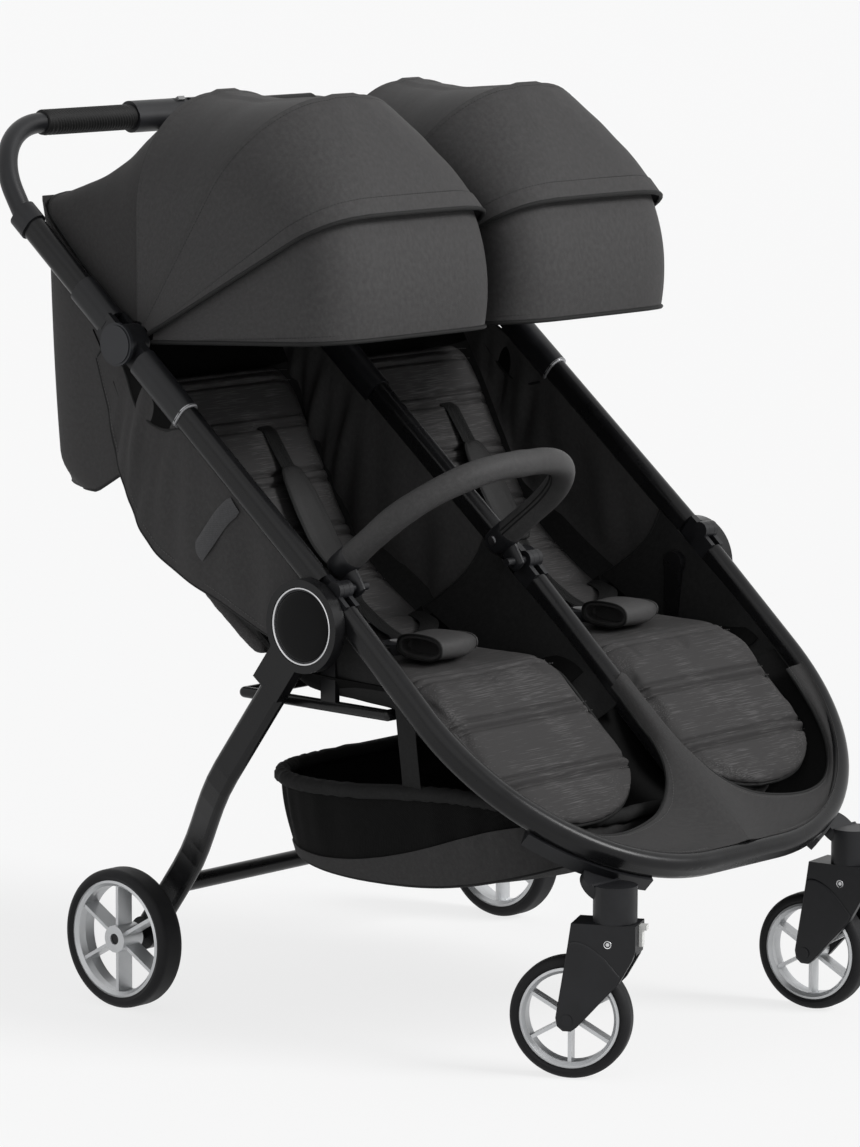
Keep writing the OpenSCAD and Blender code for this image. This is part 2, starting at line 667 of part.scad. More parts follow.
module handlebar() {
    half = frame_half_w - handle_r;
    color([0.1, 0.1, 0.11]) {
        both_sides() {
            difference() {
                on_upper(upper_len + handle_len - 24) translate([frame_half_w, 0, 0]) oval_y(26, sleeve_w, sleeve_d);
                on_upper(upper_len) translate([frame_half_w, 0, 0])
                    oval_y(handle_len, tube_w + 2 * pin_clear, tube_d + 2 * pin_clear);
            }
            on_handle() translate([frame_half_w, 0, 0]) {
                rotate([-90, 0, 0]) cylinder(r = bar_r, h = handle_rise - handle_r);
            }
            on_handle() translate([half, handle_rise - handle_r, 0])
                rotate_extrude(angle = 90) translate([handle_r, 0]) circle(r = bar_r);
        }
        on_handle() translate([0, handle_rise, 0]) rod_x(bar_r, -half, half);
    }
}

// Grips: ribbed sleeves on the crossbar and the bends
grip_end = frame_half_w - handle_r - 1;
ribs = 15;

module grips() {
    pitch = (grip_end - housing_half - 3) / ribs;
    color([0.07, 0.07, 0.07]) both_sides() on_handle() translate([0, handle_rise, 0]) rotate([0, 90, 0])
        rotate_extrude() polygon(concat(
            [[bar_r + pin_clear, housing_half + 1], [bar_r + pin_clear, grip_end]],
            [for (k = [ribs : -1 : 1]) each [[grip_r, housing_half + 2 + k * pitch],
                [grip_r + 1.4, housing_half + 2 + (k - 0.35) * pitch],
                [grip_r, housing_half + 2 + (k - 0.7) * pitch]]],
            [[grip_r, housing_half + 1]]));
}

// Handle housing round the middle of the crossbar, open below for the trigger
housing_h = 42;
trigger_half = 44;

module handle_housing() {
    color([0.12, 0.12, 0.13]) on_handle() translate([0, handle_rise, 0]) difference() {
        rotate([90, 0, 90]) translate([0, 0, -housing_half]) linear_extrude(2 * housing_half) rotate(90) oval(36, housing_h);
        rod_x(bar_r + pin_clear, -2 * housing_half, 2 * housing_half);
        translate([-trigger_half - 1, -30, -7]) cube([2 * trigger_half + 2, 32 - bar_r, 14]);
        translate([-16, 11, 9]) cube([32, 14, 12]);
    }
}

module fold_trigger() {
    color([0.2, 0.2, 0.21]) on_handle() translate([-trigger_half, handle_rise - 31, -6])
        cube([2 * trigger_half, 14, 12]);
}

module slide_lock() {
    color([0.6, 0.6, 0.6]) on_handle() translate([-11, handle_rise + 11.4, 9.4]) cube([12, 5, 9]);
}

// Canopy: hoops about the handle joint axis; an angle runs from the front over the top
hoop_start = 26;
hoop_half = canopy_half_w;
rear_hoop = [136, rear_hoop_r, 46];
mid_hoop = [90, mid_hoop_r, 140];
crown_hoop = [73.5, mid_hoop_r + 5, 136];
seam_hoop = [57, seam_hoop_r, 132];
front_hoop = [28, front_hoop_r, 62];
visor_hoop = [4, visor_hoop_r, 60];
seam_gap = 0.3;
rear_skew = 2;

function hoop(r, c, w, low = hoop_start) = concat(
    [for (i = [0 : 2]) [-w, low + (r - c - low) * i / 3]],
    [for (i = [0 : 4]) [-w + c - c * cos(22.5 * i), r - c + c * sin(22.5 * i)]],
    [for (i = [1 : 3]) [(-w + c) * (1 - i / 2), r + crown * sin(45 * i)]],
    [for (i = [0 : 4]) [w - c + c * sin(22.5 * i), r - c + c * cos(22.5 * i)]],
    [for (i = [1 : 3]) [w, r - c - (r - c - low) * i / 3]]);
function between(a, b, k) = a + (b - a) * k;
function canopy_row(key, t, skew) = let (p = hoop(key[1] - t, max(8, key[2] - t), hoop_half - t))
    [for (j = [0 : len(p) - 1]) let (a = key[0] + skew * (1 - sin(180 * j / (len(p) - 1))))
        [canopy_x + p[j][0], disc_y - p[j][1] * cos(a), disc_z + p[j][1] * sin(a)]];

module canopy_panel(keys, skew = 0) {
    slab([for (i = [0 : len(keys) - 1]) canopy_row(keys[i], 0, i == 0 ? skew : 0)],
        [for (i = [0 : len(keys) - 1]) canopy_row(keys[i], cloth_t, i == 0 ? skew : 0)]);
}

module side(sx) {
    mirror([sx < 0 ? 1 : 0, 0, 0]) children();
}

module canopy_rear(sx) {
    color([0.13, 0.13, 0.13]) side(sx) canopy_panel([rear_hoop, between(rear_hoop, mid_hoop, 0.5) - [0, rear_sag, 0],
        mid_hoop + [4, -0.5, 0], mid_hoop + [seam_gap, 0, 0]], skew = rear_skew);
}

module canopy_middle(sx) {
    color([0.15, 0.15, 0.15]) side(sx) canopy_panel([mid_hoop - [seam_gap, 0, 0],
        crown_hoop, seam_hoop + [seam_gap, 0, 0]]);
}

// Rear flaps: cloth hanging from the rear edge of each canopy, behind the seat back
module rear_flaps() {
    drop = [0, 0.12, 0.3, 0.5, 0.7, 0.88, 0.97, 1];
    edge = canopy_row(rear_hoop, 0, rear_skew);
    first = 3;
    count = 13;
    foot_y = rear_axle_y + 124;
    foot_z = disc_z - 206;
    function side_of(j) = 2 * j / (count - 1) - 1;
    function wave(j, v) = 8 * v * sin(540 * side_of(j));
    function back(j, v) = v == 0 ? edge[first + j][1] + 0.6
        : between(rear_axle_y + 166, foot_y, v * v) + wave(j, v) - (v > 0.98 ? 24 : 0);
    function fall(j, v, t) = [between(edge[first + j][0], canopy_x + side_of(j) * (hoop_half + 8), min(1, 3 * v)),
        back(j, v) + t, between(edge[first + j][2], foot_z, v) + (v > 0.98 ? 22 : 0)];
    color([0.1, 0.1, 0.1]) both_sides() slab(
        [for (v = drop) [for (j = [0 : count - 1]) fall(j, v, 0)]],
        [for (v = drop) [for (j = [0 : count - 1]) fall(j, v, cloth_t)]]);
}

// A flat plastic bow inside the cloth with an eye at each end
module bow_solid(key, inset, drop) {
    leg = hoop_half - inset - 4;
    outer = hoop(key[1] - drop, key[2] - inset, hoop_half - inset, 3);
    inner = hoop(key[1] - drop - 4, key[2] - inset - 4, leg, 3);
    n = len(inner);
    translate([canopy_x, disc_y, disc_z]) difference() {
        union() {
            rotate([180 - key[0], 0, 0]) translate([0, 0, -4]) linear_extrude(8) polygon(concat(outer,
                [for (j = [0 : n - 1]) inner[n - 1 - j]]));
            for (ex = [-1, 1]) rod_x(15, ex * (leg + 2) - 2.2, ex * (leg + 2) + 2.2);
        }
        rod_x(canopy_pin_r + pin_clear, -2 * hoop_half, 2 * hoop_half);
    }
}

module canopy_bow(sx) {
    color([0.08, 0.08, 0.08]) side(sx) bow_solid(mid_hoop, cloth_t + 1.5, cloth_t + 0.9);
}

// Front panel with the visor below its edge, over its own bow
module canopy_front(sx) {
    color([0.15, 0.15, 0.15]) side(sx) {
        canopy_panel([seam_hoop - [seam_gap, 0, 0], between(seam_hoop, front_hoop, 0.5) - [0, 6, 0], front_hoop,
            between(front_hoop, visor_hoop, 0.5), visor_hoop]);
        bow_solid(front_hoop, cloth_t + 6, cloth_t + pin_clear);
    }
}

// Belly bar: a padded hoop on the left seat, on pins in line with the fold
bar_in = -tube_w / 2 - 22;
bar_out = -frame_half_w + tube_w / 2 + 22;

module belly_bar() {
    out = bar_out - 4;
    in = bar_in + 4;
    half = (in - out) / 2;
    color([0.17, 0.17, 0.17]) translate([(in + out) / 2, fold_y, fold_z]) rotate([180 - belly_rake, 0, 0]) {
        translate([0, -belly_back, -belly_lift]) {
            translate([0, bar_reach, 0]) rod_x(belly_r, -half + belly_corner, half - belly_corner);
            for (sx = [-1, 1]) mirror([sx < 0 ? 1 : 0, 0, 0]) {
                translate([half - belly_corner, bar_reach - belly_corner, 0])
                    rotate_extrude(angle = 90) translate([belly_corner, 0]) circle(r = belly_r);
                translate([half, 16, 0]) rotate([-90, 0, 0]) cylinder(r = belly_r, h = bar_reach - belly_corner - 16);
            }
        }
        for (sx = [-1, 1]) mirror([sx < 0 ? 1 : 0, 0, 0]) difference() {
            union() {
                translate([half, -belly_back - 4, -belly_lift]) rotate([-90, 0, 0]) cylinder(r = belly_r + 1.5, h = 30);
                translate([half, 0, 0]) rod_x(13, -4, 8);
                translate([half - 4, -13, -belly_lift]) cube([12, 26, belly_lift]);
            }
            rod_x(fold_pin_r + 1 + pin_clear, -frame_half_w, frame_half_w);
        }
    }
}

// Rear legs: a round head on the hub shaft, a flat tube that sets inboard, and a stub axle
module on_leg() {
    translate([0, hub_y, hub_z]) rotate([leg_rake, 0, 0]) children();
}

foot_run = cross_at - 24;
function ease(k) = k < 0 ? 0 : k > 1 ? 1 : k * k * (3 - 2 * k);
function leg_at(t) = leg_x - leg_set_in * ease((t - leg_bend) / (foot_run - leg_bend));
function leg_ring(t) = [for (a = [10 : 20 : 350]) [leg_at(t) + leg_t / 2 * cos(a),
    leg_t / 2 * sin(a) + sign(sin(a)) * (leg_w - leg_t) / 2, -t]];

module rear_leg() {
    steps = concat([hub_head_r + 5, leg_bend], [for (i = [1 : 7]) between(leg_bend, foot_run, i / 7)], [leg_len]);
    difference() {
        union() {
            translate([0, hub_y, hub_z]) rod_x(hub_head_r, head_in, head_out);
            on_leg() {
                sweep([for (t = steps) leg_ring(t)]);
                translate([head_in + 0.7, -leg_w / 2 - 4, -104]) cube([head_out - head_in - 2.7, leg_w + 8, 70]);
            }
            translate([0, rear_axle_y, rear_r]) {
                rod_x(leg_w / 2 + 1, foot_x - leg_t / 2 - 1, foot_x + leg_t / 2 + 1);
                rod_x(7, foot_x, rear_half_track + rear_tyre_w / 2 - 4);
            }
        }
        translate([0, hub_y, hub_z]) {
            rod_x(hub_shaft_r + pin_clear, head_in - 40, head_out - 4);
            rod_x(hub_head_r - 9, head_out - 3, head_out + 1);
        }
    }
}

module rear_legs() {
    color([0.1, 0.1, 0.11]) both_sides() rear_leg();
}

// Hub trim: a bright ring and a bare cap in the recess of each leg head
module hub_trim() {
    r = hub_head_r - 9 - pin_clear;
    color([0.75, 0.76, 0.78]) both_sides() translate([0, hub_y, hub_z]) {
        difference() {
            rod_x(r, head_out - 3, head_out + 2);
            rod_x(r - 4, head_out - 4, head_out + 3);
        }
        rod_x(r - 4 - pin_clear, head_out - 3, head_out + 0.5);
    }
}

module rear_cross_tube() {
    reach = foot_x - leg_t / 2 - pin_clear;
    color([0.09, 0.09, 0.1]) on_leg() translate([0, 0, -cross_at]) rod_x(cross_r, -reach, reach);
}

// Brake pedal: a sleeve on the cross tube with a foot paddle
module brake_pedal() {
    color([0.2, 0.2, 0.21]) on_leg() translate([0, 0, -cross_at]) difference() {
        union() {
            rod_x(cross_r + 4, -45, 45);
            rotate([-leg_rake, 0, 0]) translate([-32, 0, -2]) cube([64, 62, 7]);
            rotate([-leg_rake, 0, 0]) translate([-32, 62, 1.5]) rod_x(3.5, 0, 64);
        }
        rod_x(cross_r + pin_clear, -60, 60);
    }
}

// Castors: a fork with two cheeks, set at its own turn on the stem
module on_castor(sx) {
    turn = sx < 0 ? castor_turn_left : castor_turn_right;
    translate([sx * stem_x, stem_y, 0]) rotate([0, 0, turn]) children();
}

crown_z = stem_z - 0.5;
crown_h = 36;
cheek_x = front_tyre_w / 2 + 2.5;

module fork_outline() {
    polygon([[-30, crown_z], [trail - 4, crown_z], [trail, crown_z - 28], [trail + 14, front_r + 2],
        [trail + 12, front_r - 8], [trail + 5, front_r - 13.5], [trail - 5, front_r - 13.5],
        [trail - 12, front_r - 8], [trail - 28, front_r + 10], [-10, front_r + 47], [-26, crown_z - 42],
        [-30, crown_z - 30]]);
}

module castor_fork(sx) {
    color([0.1, 0.1, 0.11]) on_castor(sx) {
        for (s = [-1, 1]) translate([s > 0 ? cheek_x : -cheek_x - cheek_t, 0, 0])
            rotate([90, 0, 90]) linear_extrude(cheek_t) fork_outline();
        translate([-cheek_x - 1, -30, crown_z - crown_h]) cube([2 * cheek_x + 2, trail + 26, crown_h]);
        cylinder_at_stem();
        translate([0, trail, front_r]) {
            rod_x(front_axle_r, -cheek_x - cheek_t - 2, cheek_x + cheek_t + 2);
            for (s = [-1, 1]) rod_x(7, s > 0 ? cheek_x + cheek_t - 1 : -cheek_x - cheek_t - 2.5,
                s > 0 ? cheek_x + cheek_t + 2.5 : -cheek_x - cheek_t + 1);
        }
    }
}

module cylinder_at_stem() {
    translate([0, 0, crown_z - 2]) cylinder(r = 7, h = pin_len + 2);
}

module swivel_lock(sx) {
    color([0.85, 0.85, 0.84]) on_castor(sx) translate([-6, -34.3, stem_z - 28]) {
        cube([12, 4, 26]);
        translate([0, -5, 20]) cube([12, 6, 6]);
    }
}

// Wheels along X: a grooved tyre on a rim with a ring, a hub and deep blades
module tyre(r, w, rim) {
    e = w / 2;
    rotate([0, 90, 0]) rotate_extrude($fn = 72) polygon(concat([[rim + pin_clear, -e + 3], [rim + pin_clear, e - 3]],
        [for (a = [90 : -15 : 0]) [r - 9 + 9 * cos(a), e - 9 + 9 * sin(a)]],
        [for (a = [0 : -15 : -90]) [r - 9 + 9 * cos(a), -e + 9 + 9 * sin(a)]]));
}

module rim(r, w, hub_r, hub_w, bore) {
    rotate([0, 90, 0]) difference() {
        union() {
            rotate_extrude($fn = 72) polygon([[r, -w / 2], [r, w / 2], [r - 3, w / 2 + 1.5], [r - 7, w / 2 - 3],
                [r - 5, 0], [r - 7, -w / 2 + 3], [r - 3, -w / 2 - 1.5]]);
            cylinder(r = hub_r, h = hub_w, center = true);
            for (k = [0 : blades - 1]) rotate([0, 0, k * 360 / blades]) translate([0, -2.2, -w / 2 + 4])
                cube([r - 5, 4.4, w - 8]);
        }
        cylinder(r = bore + pin_clear, h = 3 * w, center = true);
    }
}

front_rim_r = front_r - 13;
rear_rim_r = rear_r - 14;

module front_wheel(sx) {
    on_castor(sx) translate([0, trail, front_r]) children();
}

module rear_wheel(sx) {
    translate([sx * rear_half_track, rear_axle_y, rear_r]) children();
}

module front_tyre(sx) {
    color([0.04, 0.04, 0.04]) front_wheel(sx) tyre(front_r, front_tyre_w, front_rim_r);
}

module front_rim(sx) {
    color([0.8, 0.81, 0.82]) front_wheel(sx)
        rim(front_rim_r, front_tyre_w - 4, 13, 2 * cheek_x - 2 * seat_clear, front_axle_r);
}

module rear_tyre(sx) {
    color([0.04, 0.04, 0.04]) rear_wheel(sx) tyre(rear_r, rear_tyre_w, rear_rim_r);
}

module rear_rim(sx) {
    color([0.8, 0.81, 0.82]) rear_wheel(sx) rim(rear_rim_r, rear_tyre_w - 6, 17, rear_tyre_w - 4, 7);
}

front_frame_tube();
centre_spine_tube();
lower_knuckles();
seat_frame();
castor_brackets();
bracket_bolts();
seat_pad(-1);  // seat_pad_left
seat_pad(1);  // seat_pad_right
calf_pad(-1);  // calf_pad_left
calf_pad(1);  // calf_pad_right
footwell_panel();
footwell_liner();
crotch_pads();
buckles();
buckle_button(-1);  // buckle_button_left
buckle_button(1);  // buckle_button_right
basket();
upper_tubes();
upper_knuckles();
joint_sleeves();
side_wings(-1);  // side_wings_left
side_wings(1);  // side_wings_right
backrest(-1);  // backrest_left
backrest(1);  // backrest_right
harness(-1);  // harness_left
harness(1);  // harness_right
handle_fittings();
pivot_discs();
handle_tubes();
handlebar();
grips();
handle_housing();
fold_trigger();
slide_lock();
rear_flaps();
canopy_rear(-1);  // canopy_rear_left
canopy_rear(1);  // canopy_rear_right
canopy_bow(-1);  // canopy_bow_left
canopy_bow(1);  // canopy_bow_right
canopy_middle(-1);  // canopy_middle_left
canopy_middle(1);  // canopy_middle_right
canopy_front(-1);  // canopy_front_left
canopy_front(1);  // canopy_front_right
belly_bar();
rear_legs();
hub_trim();
rear_cross_tube();
brake_pedal();
castor_fork(-1);  // castor_fork_left
castor_fork(1);  // castor_fork_right
swivel_lock(-1);  // swivel_lock_left
swivel_lock(1);  // swivel_lock_right
front_tyre(-1);  // front_tyre_left
front_tyre(1);  // front_tyre_right
front_rim(-1);  // front_rim_left
front_rim(1);  // front_rim_right
rear_tyre(-1);  // rear_tyre_left
rear_tyre(1);  // rear_tyre_right
rear_rim(-1);  // rear_rim_left
rear_rim(1);  // rear_rim_right
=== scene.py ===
import math

import bmesh
import bpy
import numpy as np
from mathutils import Matrix, Vector


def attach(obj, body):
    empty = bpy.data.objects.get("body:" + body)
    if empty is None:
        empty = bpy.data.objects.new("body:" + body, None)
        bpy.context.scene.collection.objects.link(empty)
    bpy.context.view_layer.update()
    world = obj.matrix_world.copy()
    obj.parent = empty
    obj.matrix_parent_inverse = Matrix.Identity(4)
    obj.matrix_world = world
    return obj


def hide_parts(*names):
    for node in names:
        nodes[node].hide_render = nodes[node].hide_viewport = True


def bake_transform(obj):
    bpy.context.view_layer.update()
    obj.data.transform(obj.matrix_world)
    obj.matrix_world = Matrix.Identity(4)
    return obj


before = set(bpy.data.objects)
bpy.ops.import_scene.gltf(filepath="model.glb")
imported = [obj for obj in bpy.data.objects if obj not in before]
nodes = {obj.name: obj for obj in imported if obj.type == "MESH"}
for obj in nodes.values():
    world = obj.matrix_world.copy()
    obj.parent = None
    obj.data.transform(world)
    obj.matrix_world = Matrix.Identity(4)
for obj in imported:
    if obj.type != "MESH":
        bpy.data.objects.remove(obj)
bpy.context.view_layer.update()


# ---------------------------------------------------------------------------------------------
# Studio: a seamless pale floor and even soft light from a wide sky, with one broad key from the
# front right and a weak fill from the left. The camera stands where the photograph was taken.
eye = Vector((-4.8562, -4.3193, 1.5331))
yaw, dip, roll = math.radians(48.112), math.radians(8.756), math.radians(0.222)
ahead = Vector((math.sin(yaw) * math.cos(dip), math.cos(yaw) * math.cos(dip), -math.sin(dip)))
across = Vector((math.cos(yaw), -math.sin(yaw), 0))
above = across.cross(ahead)
across, above = (math.cos(roll) * across + math.sin(roll) * above,
                 math.cos(roll) * above - math.sin(roll) * across)
lens = bpy.data.cameras.new("camera")
lens.lens, lens.sensor_width, lens.clip_end = 163.47, 36, 200
camera = bpy.data.objects.new("camera", lens)
camera.matrix_world = Matrix((across, above, -ahead)).transposed().to_4x4()
camera.location = eye
bpy.context.scene.collection.objects.link(camera)
bpy.context.scene.camera = camera
bpy.context.scene.view_settings.view_transform = "Standard"


def seen_white(tree, light_shader, share):
    """Mixes a share of plain white into what the camera and mirrors see, and nothing else."""
    path = tree.nodes.new("ShaderNodeLightPath")
    straight = tree.nodes.new("ShaderNodeMath")
    straight.operation = "MAXIMUM"
    tree.links.new(path.outputs["Is Camera Ray"], straight.inputs[0])
    tree.links.new(path.outputs["Is Glossy Ray"], straight.inputs[1])
    through = tree.nodes.new("ShaderNodeMath")
    through.operation = "MAXIMUM"
    tree.links.new(straight.outputs[0], through.inputs[0])
    tree.links.new(path.outputs["Is Transmission Ray"], through.inputs[1])
    part = tree.nodes.new("ShaderNodeMath")
    part.operation = "MULTIPLY"
    part.inputs[1].default_value = share
    tree.links.new(through.outputs[0], part.inputs[0])
    mixed = tree.nodes.new("ShaderNodeMixShader")
    tree.links.new(part.outputs[0], mixed.inputs[0])
    tree.links.new(light_shader.outputs[0], mixed.inputs[1])
    return mixed


sky = bpy.data.worlds.new("studio_sky")
bpy.context.scene.world = sky
sky.use_nodes = True
sky_light = sky.node_tree.nodes["Background"]
sky_light.inputs["Color"].default_value = (0.97, 0.98, 1.0, 1)
sky_light.inputs["Strength"].default_value = 0.30
white = sky.node_tree.nodes.new("ShaderNodeBackground")
white.inputs["Color"].default_value = (1, 1, 1, 1)
sky_mix = seen_white(sky.node_tree, sky_light, 1.0)
sky.node_tree.links.new(white.outputs[0], sky_mix.inputs[2])
sky.node_tree.links.new(sky_mix.outputs[0], sky.node_tree.nodes["World Output"].inputs[0])

floor_mesh = bpy.data.meshes.new("floor")
floor_half = 90
floor_mesh.from_pydata([(x * floor_half, y * floor_half, 0)
                        for x, y in ((-1, -1), (1, -1), (1, 1), (-1, 1))], [], [(0, 1, 2, 3)])
floor = bpy.data.objects.new("floor", floor_mesh)
bpy.context.scene.collection.objects.link(floor)
floor_paint = bpy.data.materials.new("floor_paint")
floor_paint.use_nodes = True
floor_matt = floor_paint.node_tree.nodes["Principled BSDF"]
floor_matt.inputs["Base Color"].default_value = (0.93, 0.93, 0.93, 1)
floor_matt.inputs["Roughness"].default_value = 0.9
floor_glow = floor_paint.node_tree.nodes.new("ShaderNodeEmission")
floor_white = 0.78
floor_mix = seen_white(floor_paint.node_tree, floor_matt, floor_white)
floor_paint.node_tree.links.new(floor_glow.outputs[0], floor_mix.inputs[2])
floor_paint.node_tree.links.new(floor_mix.outputs[0],
                                floor_paint.node_tree.nodes["Material Output"].inputs[0])
floor_mesh.materials.append(floor_paint)

for lamp_name, strength, spread, aim in (("key", 2.4, 24, (-0.34, 0.80, -0.56)),
                                         ("fill", 0.35, 60, (0.9, 0.2, -0.4))):
    lamp = bpy.data.lights.new(lamp_name, "SUN")
    lamp.energy, lamp.angle = strength, math.radians(spread)
    lamp_object = bpy.data.objects.new(lamp_name, lamp)
    lamp_object.rotation_euler = Vector(aim).to_track_quat("-Z", "Y").to_euler()
    bpy.context.scene.collection.objects.link(lamp_object)


# ---------------------------------------------------------------------------------------------
# Front frame: one bent oval aluminium tube from the left fold round the front bow to the right
# fold, and a straight spine to its middle. Satin black powder coat over smooth metal.
fold_y, fold_z = -120.80, 551.86
front_slope = math.radians(41.4)


def lower(s, h):
    """A point (y, z) on the front frame: s down the slope from the fold, h off it to the front."""
    return (fold_y - s * math.cos(front_slope) - h * math.sin(front_slope),
            fold_z - s * math.sin(front_slope) + h * math.cos(front_slope))


def shader_node(tree, kind, **values):
    node = tree.nodes.new("ShaderNode" + kind)
    for key, value in values.items():
        label = key.replace("_", " ")
        if label in node.inputs:
            node.inputs[label].default_value = value
        else:
            setattr(node, key, value)
    return node


def calc(tree, operation, a, b=None):
    """One Math node; a and b are sockets or plain numbers."""
    node = tree.nodes.new("ShaderNodeMath")
    node.operation = operation
    for socket, value in zip(node.inputs, (a, b)):
        if isinstance(value, bpy.types.NodeSocket):
            tree.links.new(value, socket)
        elif value is not None:
            socket.default_value = value
    return node.outputs[0]


def blend_colour(tree, share, first, second):
    node = tree.nodes.new("ShaderNodeMix")
    node.data_type = "RGBA"
    for value, index in ((share, 0), (first, 6), (second, 7)):
        tree.links.new(value, node.inputs[index])
    return node.outputs[2]


def swayed(tree, level, noise, size):
    """A level that a noise texture moves up and down by half of size."""
    sway = calc(tree, "MULTIPLY", calc(tree, "SUBTRACT", noise.outputs[0], 0.5), size)
    return calc(tree, "ADD", level, sway)


def pattern_group(name, inputs):
    """An empty shader group with a Vector input, the named inputs, and three pattern outputs."""
    tree = bpy.data.node_groups.new(name, "ShaderNodeTree")
    tree.interface.new_socket("Vector", in_out="INPUT", socket_type="NodeSocketVector")
    for label, value in inputs.items():
        kind = "NodeSocketFloat" if isinstance(value, float) else "NodeSocketColor"
        tree.interface.new_socket(label, in_out="INPUT", socket_type=kind).default_value = value
    for label, kind in (("Color", "Color"), ("Roughness", "Float"), ("Height", "Float")):
        tree.interface.new_socket(label, in_out="OUTPUT", socket_type="NodeSocket" + kind)
    return (tree, tree.nodes.new("NodeGroupInput").outputs,
            tree.nodes.new("NodeGroupOutput").inputs)


def paint(colour):
    """An opaque colour from one grey value or from three."""
    return (*(colour if isinstance(colour, tuple) else (colour,) * 3), 1)


# Coated and moulded surfaces: a fine grain, slow patches of shine, and paler rubbed specks
coat, given, put = pattern_group("coat_pattern", {
    "Colour": paint((0.012, 0.012, 0.013)), "Rubbed": paint((0.03, 0.03, 0.032)),
    "Grain": 900.0, "Gloss": 0.35})
fine = shader_node(coat, "TexNoise", Detail=3.0)
coat.links.new(given["Vector"], fine.inputs["Vector"])
coat.links.new(given["Grain"], fine.inputs["Scale"])
slow = shader_node(coat, "TexNoise", Scale=14.0, Detail=4.0, Roughness=0.62)
coat.links.new(given["Vector"], slow.inputs["Vector"])
rubbed = shader_node(coat, "MapRange", From_Min=0.46, From_Max=0.86)
coat.links.new(slow.outputs[0], rubbed.inputs[0])
coat.links.new(blend_colour(coat, rubbed.outputs[0], given["Colour"], given["Rubbed"]),
               put["Color"])
coat.links.new(swayed(coat, given["Gloss"], slow, 0.3), put["Roughness"])
coat.links.new(fine.outputs[0], put["Height"])


def surface(name, group, values, bump, depth, coords="Object", shine=0.5, metal=0.0):
    """A Principled material whose colour, roughness and bump come from one pattern group."""
    made = bpy.data.materials.new(name)
    made.use_nodes = True
    tree = made.node_tree
    shader = tree.nodes["Principled BSDF"]
    pattern = tree.nodes.new("ShaderNodeGroup")
    pattern.node_tree = group
    for label, value in values.items():
        pattern.inputs[label].default_value = value
    tree.links.new(shader_node(tree, "TexCoord").outputs[coords], pattern.inputs["Vector"])
    lift = shader_node(tree, "Bump", Strength=bump, Distance=depth)
    tree.links.new(pattern.outputs["Height"], lift.inputs["Height"])
    tree.links.new(pattern.outputs["Color"], shader.inputs["Base Color"])
    tree.links.new(pattern.outputs["Roughness"], shader.inputs["Roughness"])
    tree.links.new(lift.outputs["Normal"], shader.inputs["Normal"])
    shader.inputs["Specular IOR Level"].default_value = shine
    shader.inputs["Metallic"].default_value = metal
    return made


def coated(name, colour, rubbed, grain, gloss, bump=0.1, depth=0.0002, **more):
    return surface(name, coat, {"Colour": paint(colour), "Rubbed": paint(rubbed), "Grain": grain,
                                "Gloss": gloss}, bump, depth, **more)


def dress(finish, *names):
    """Gives CAD nodes their finish."""
    for name in names:
        mesh = nodes[name].data
        mesh.materials.clear()
        mesh.materials.append(finish)
        mesh.polygons.foreach_set("material_index", [0] * len(mesh.polygons))


tube_black = coated("satin_tube_black", (0.007, 0.007, 0.0075), (0.011, 0.011, 0.012),
                    grain=1400, gloss=0.28, bump=0.05, shine=0.22)
dress(tube_black, "front_frame_tube", "centre_spine_tube", "seat_frame")


# ---------------------------------------------------------------------------------------------
# Fold knuckles: moulded black lugs pinned through each tube at the fold, with the hub shafts on
# the outer two. Glass-filled nylon with a fine spark-eroded grain.
moulded_black = coated("moulded_black", (0.010, 0.0102, 0.0115), (0.019, 0.0195, 0.022),
                       grain=1100, gloss=0.42, bump=0.2, depth=0.0003, shine=0.26)
dress(moulded_black, "lower_knuckles", "upper_knuckles")


# ---------------------------------------------------------------------------------------------
# Castor brackets: a moulded saddle under the bow and the round stem housing below it, held by
# two round-headed steel bolts on each side.
bolt_steel = coated("bolt_steel", (0.10, 0.10, 0.105), (0.3, 0.3, 0.31), grain=700, gloss=0.3,
                    metal=0.9)
dress(moulded_black, "castor_brackets")
dress(bolt_steel, "bracket_bolts")


# ---------------------------------------------------------------------------------------------
# Castor forks: one moulding each, with a deep crown round the stem and two cheeks to the axle.
# Each cheek has a raised cover that ends in an arch, and a socket bolt with a bright rim. The
# small white lever in front of the crown holds the castor straight.
both_sides = (("left", -1), ("right", 1))


def smooth_line(points, count):
    """A Catmull-Rom line through the points, any number of columns."""
    p = np.asarray(points, float)
    p = np.vstack([2 * p[0] - p[1], p, 2 * p[-1] - p[-2]])
    t = np.linspace(0, len(p) - 3, count)
    i = np.minimum(t.astype(int), len(p) - 4)
    f = (t - i)[:, None]
    a, b, c, d = p[i], p[i + 1], p[i + 2], p[i + 3]
    return 0.5 * (2 * b + (c - a) * f + (2 * a - 5 * b + 4 * c - d) * f ** 2
                  + (3 * b - a - 3 * c + d) * f ** 3)


def whole_turn(count):
    return np.linspace(0, 2 * math.pi, count, endpoint=False)


def unit(rows):
    return rows / np.linalg.norm(rows, axis=-1)[..., None]


def cut_uv(rows):
    """Metres across and along a grid in millimetres, one pair for each point."""
    along = np.linalg.norm(np.diff(rows, axis=0), axis=2).mean(1)
    over = np.linalg.norm(np.diff(rows, axis=1), axis=2)
    along = np.concatenate([[0], np.cumsum(along)]) / 1000
    over = np.concatenate([np.zeros((len(rows), 1)), np.cumsum(over, axis=1)], axis=1) / 1000
    return np.stack([over, np.repeat(along[:, None], rows.shape[1], 1)], axis=2).reshape(-1, 2)


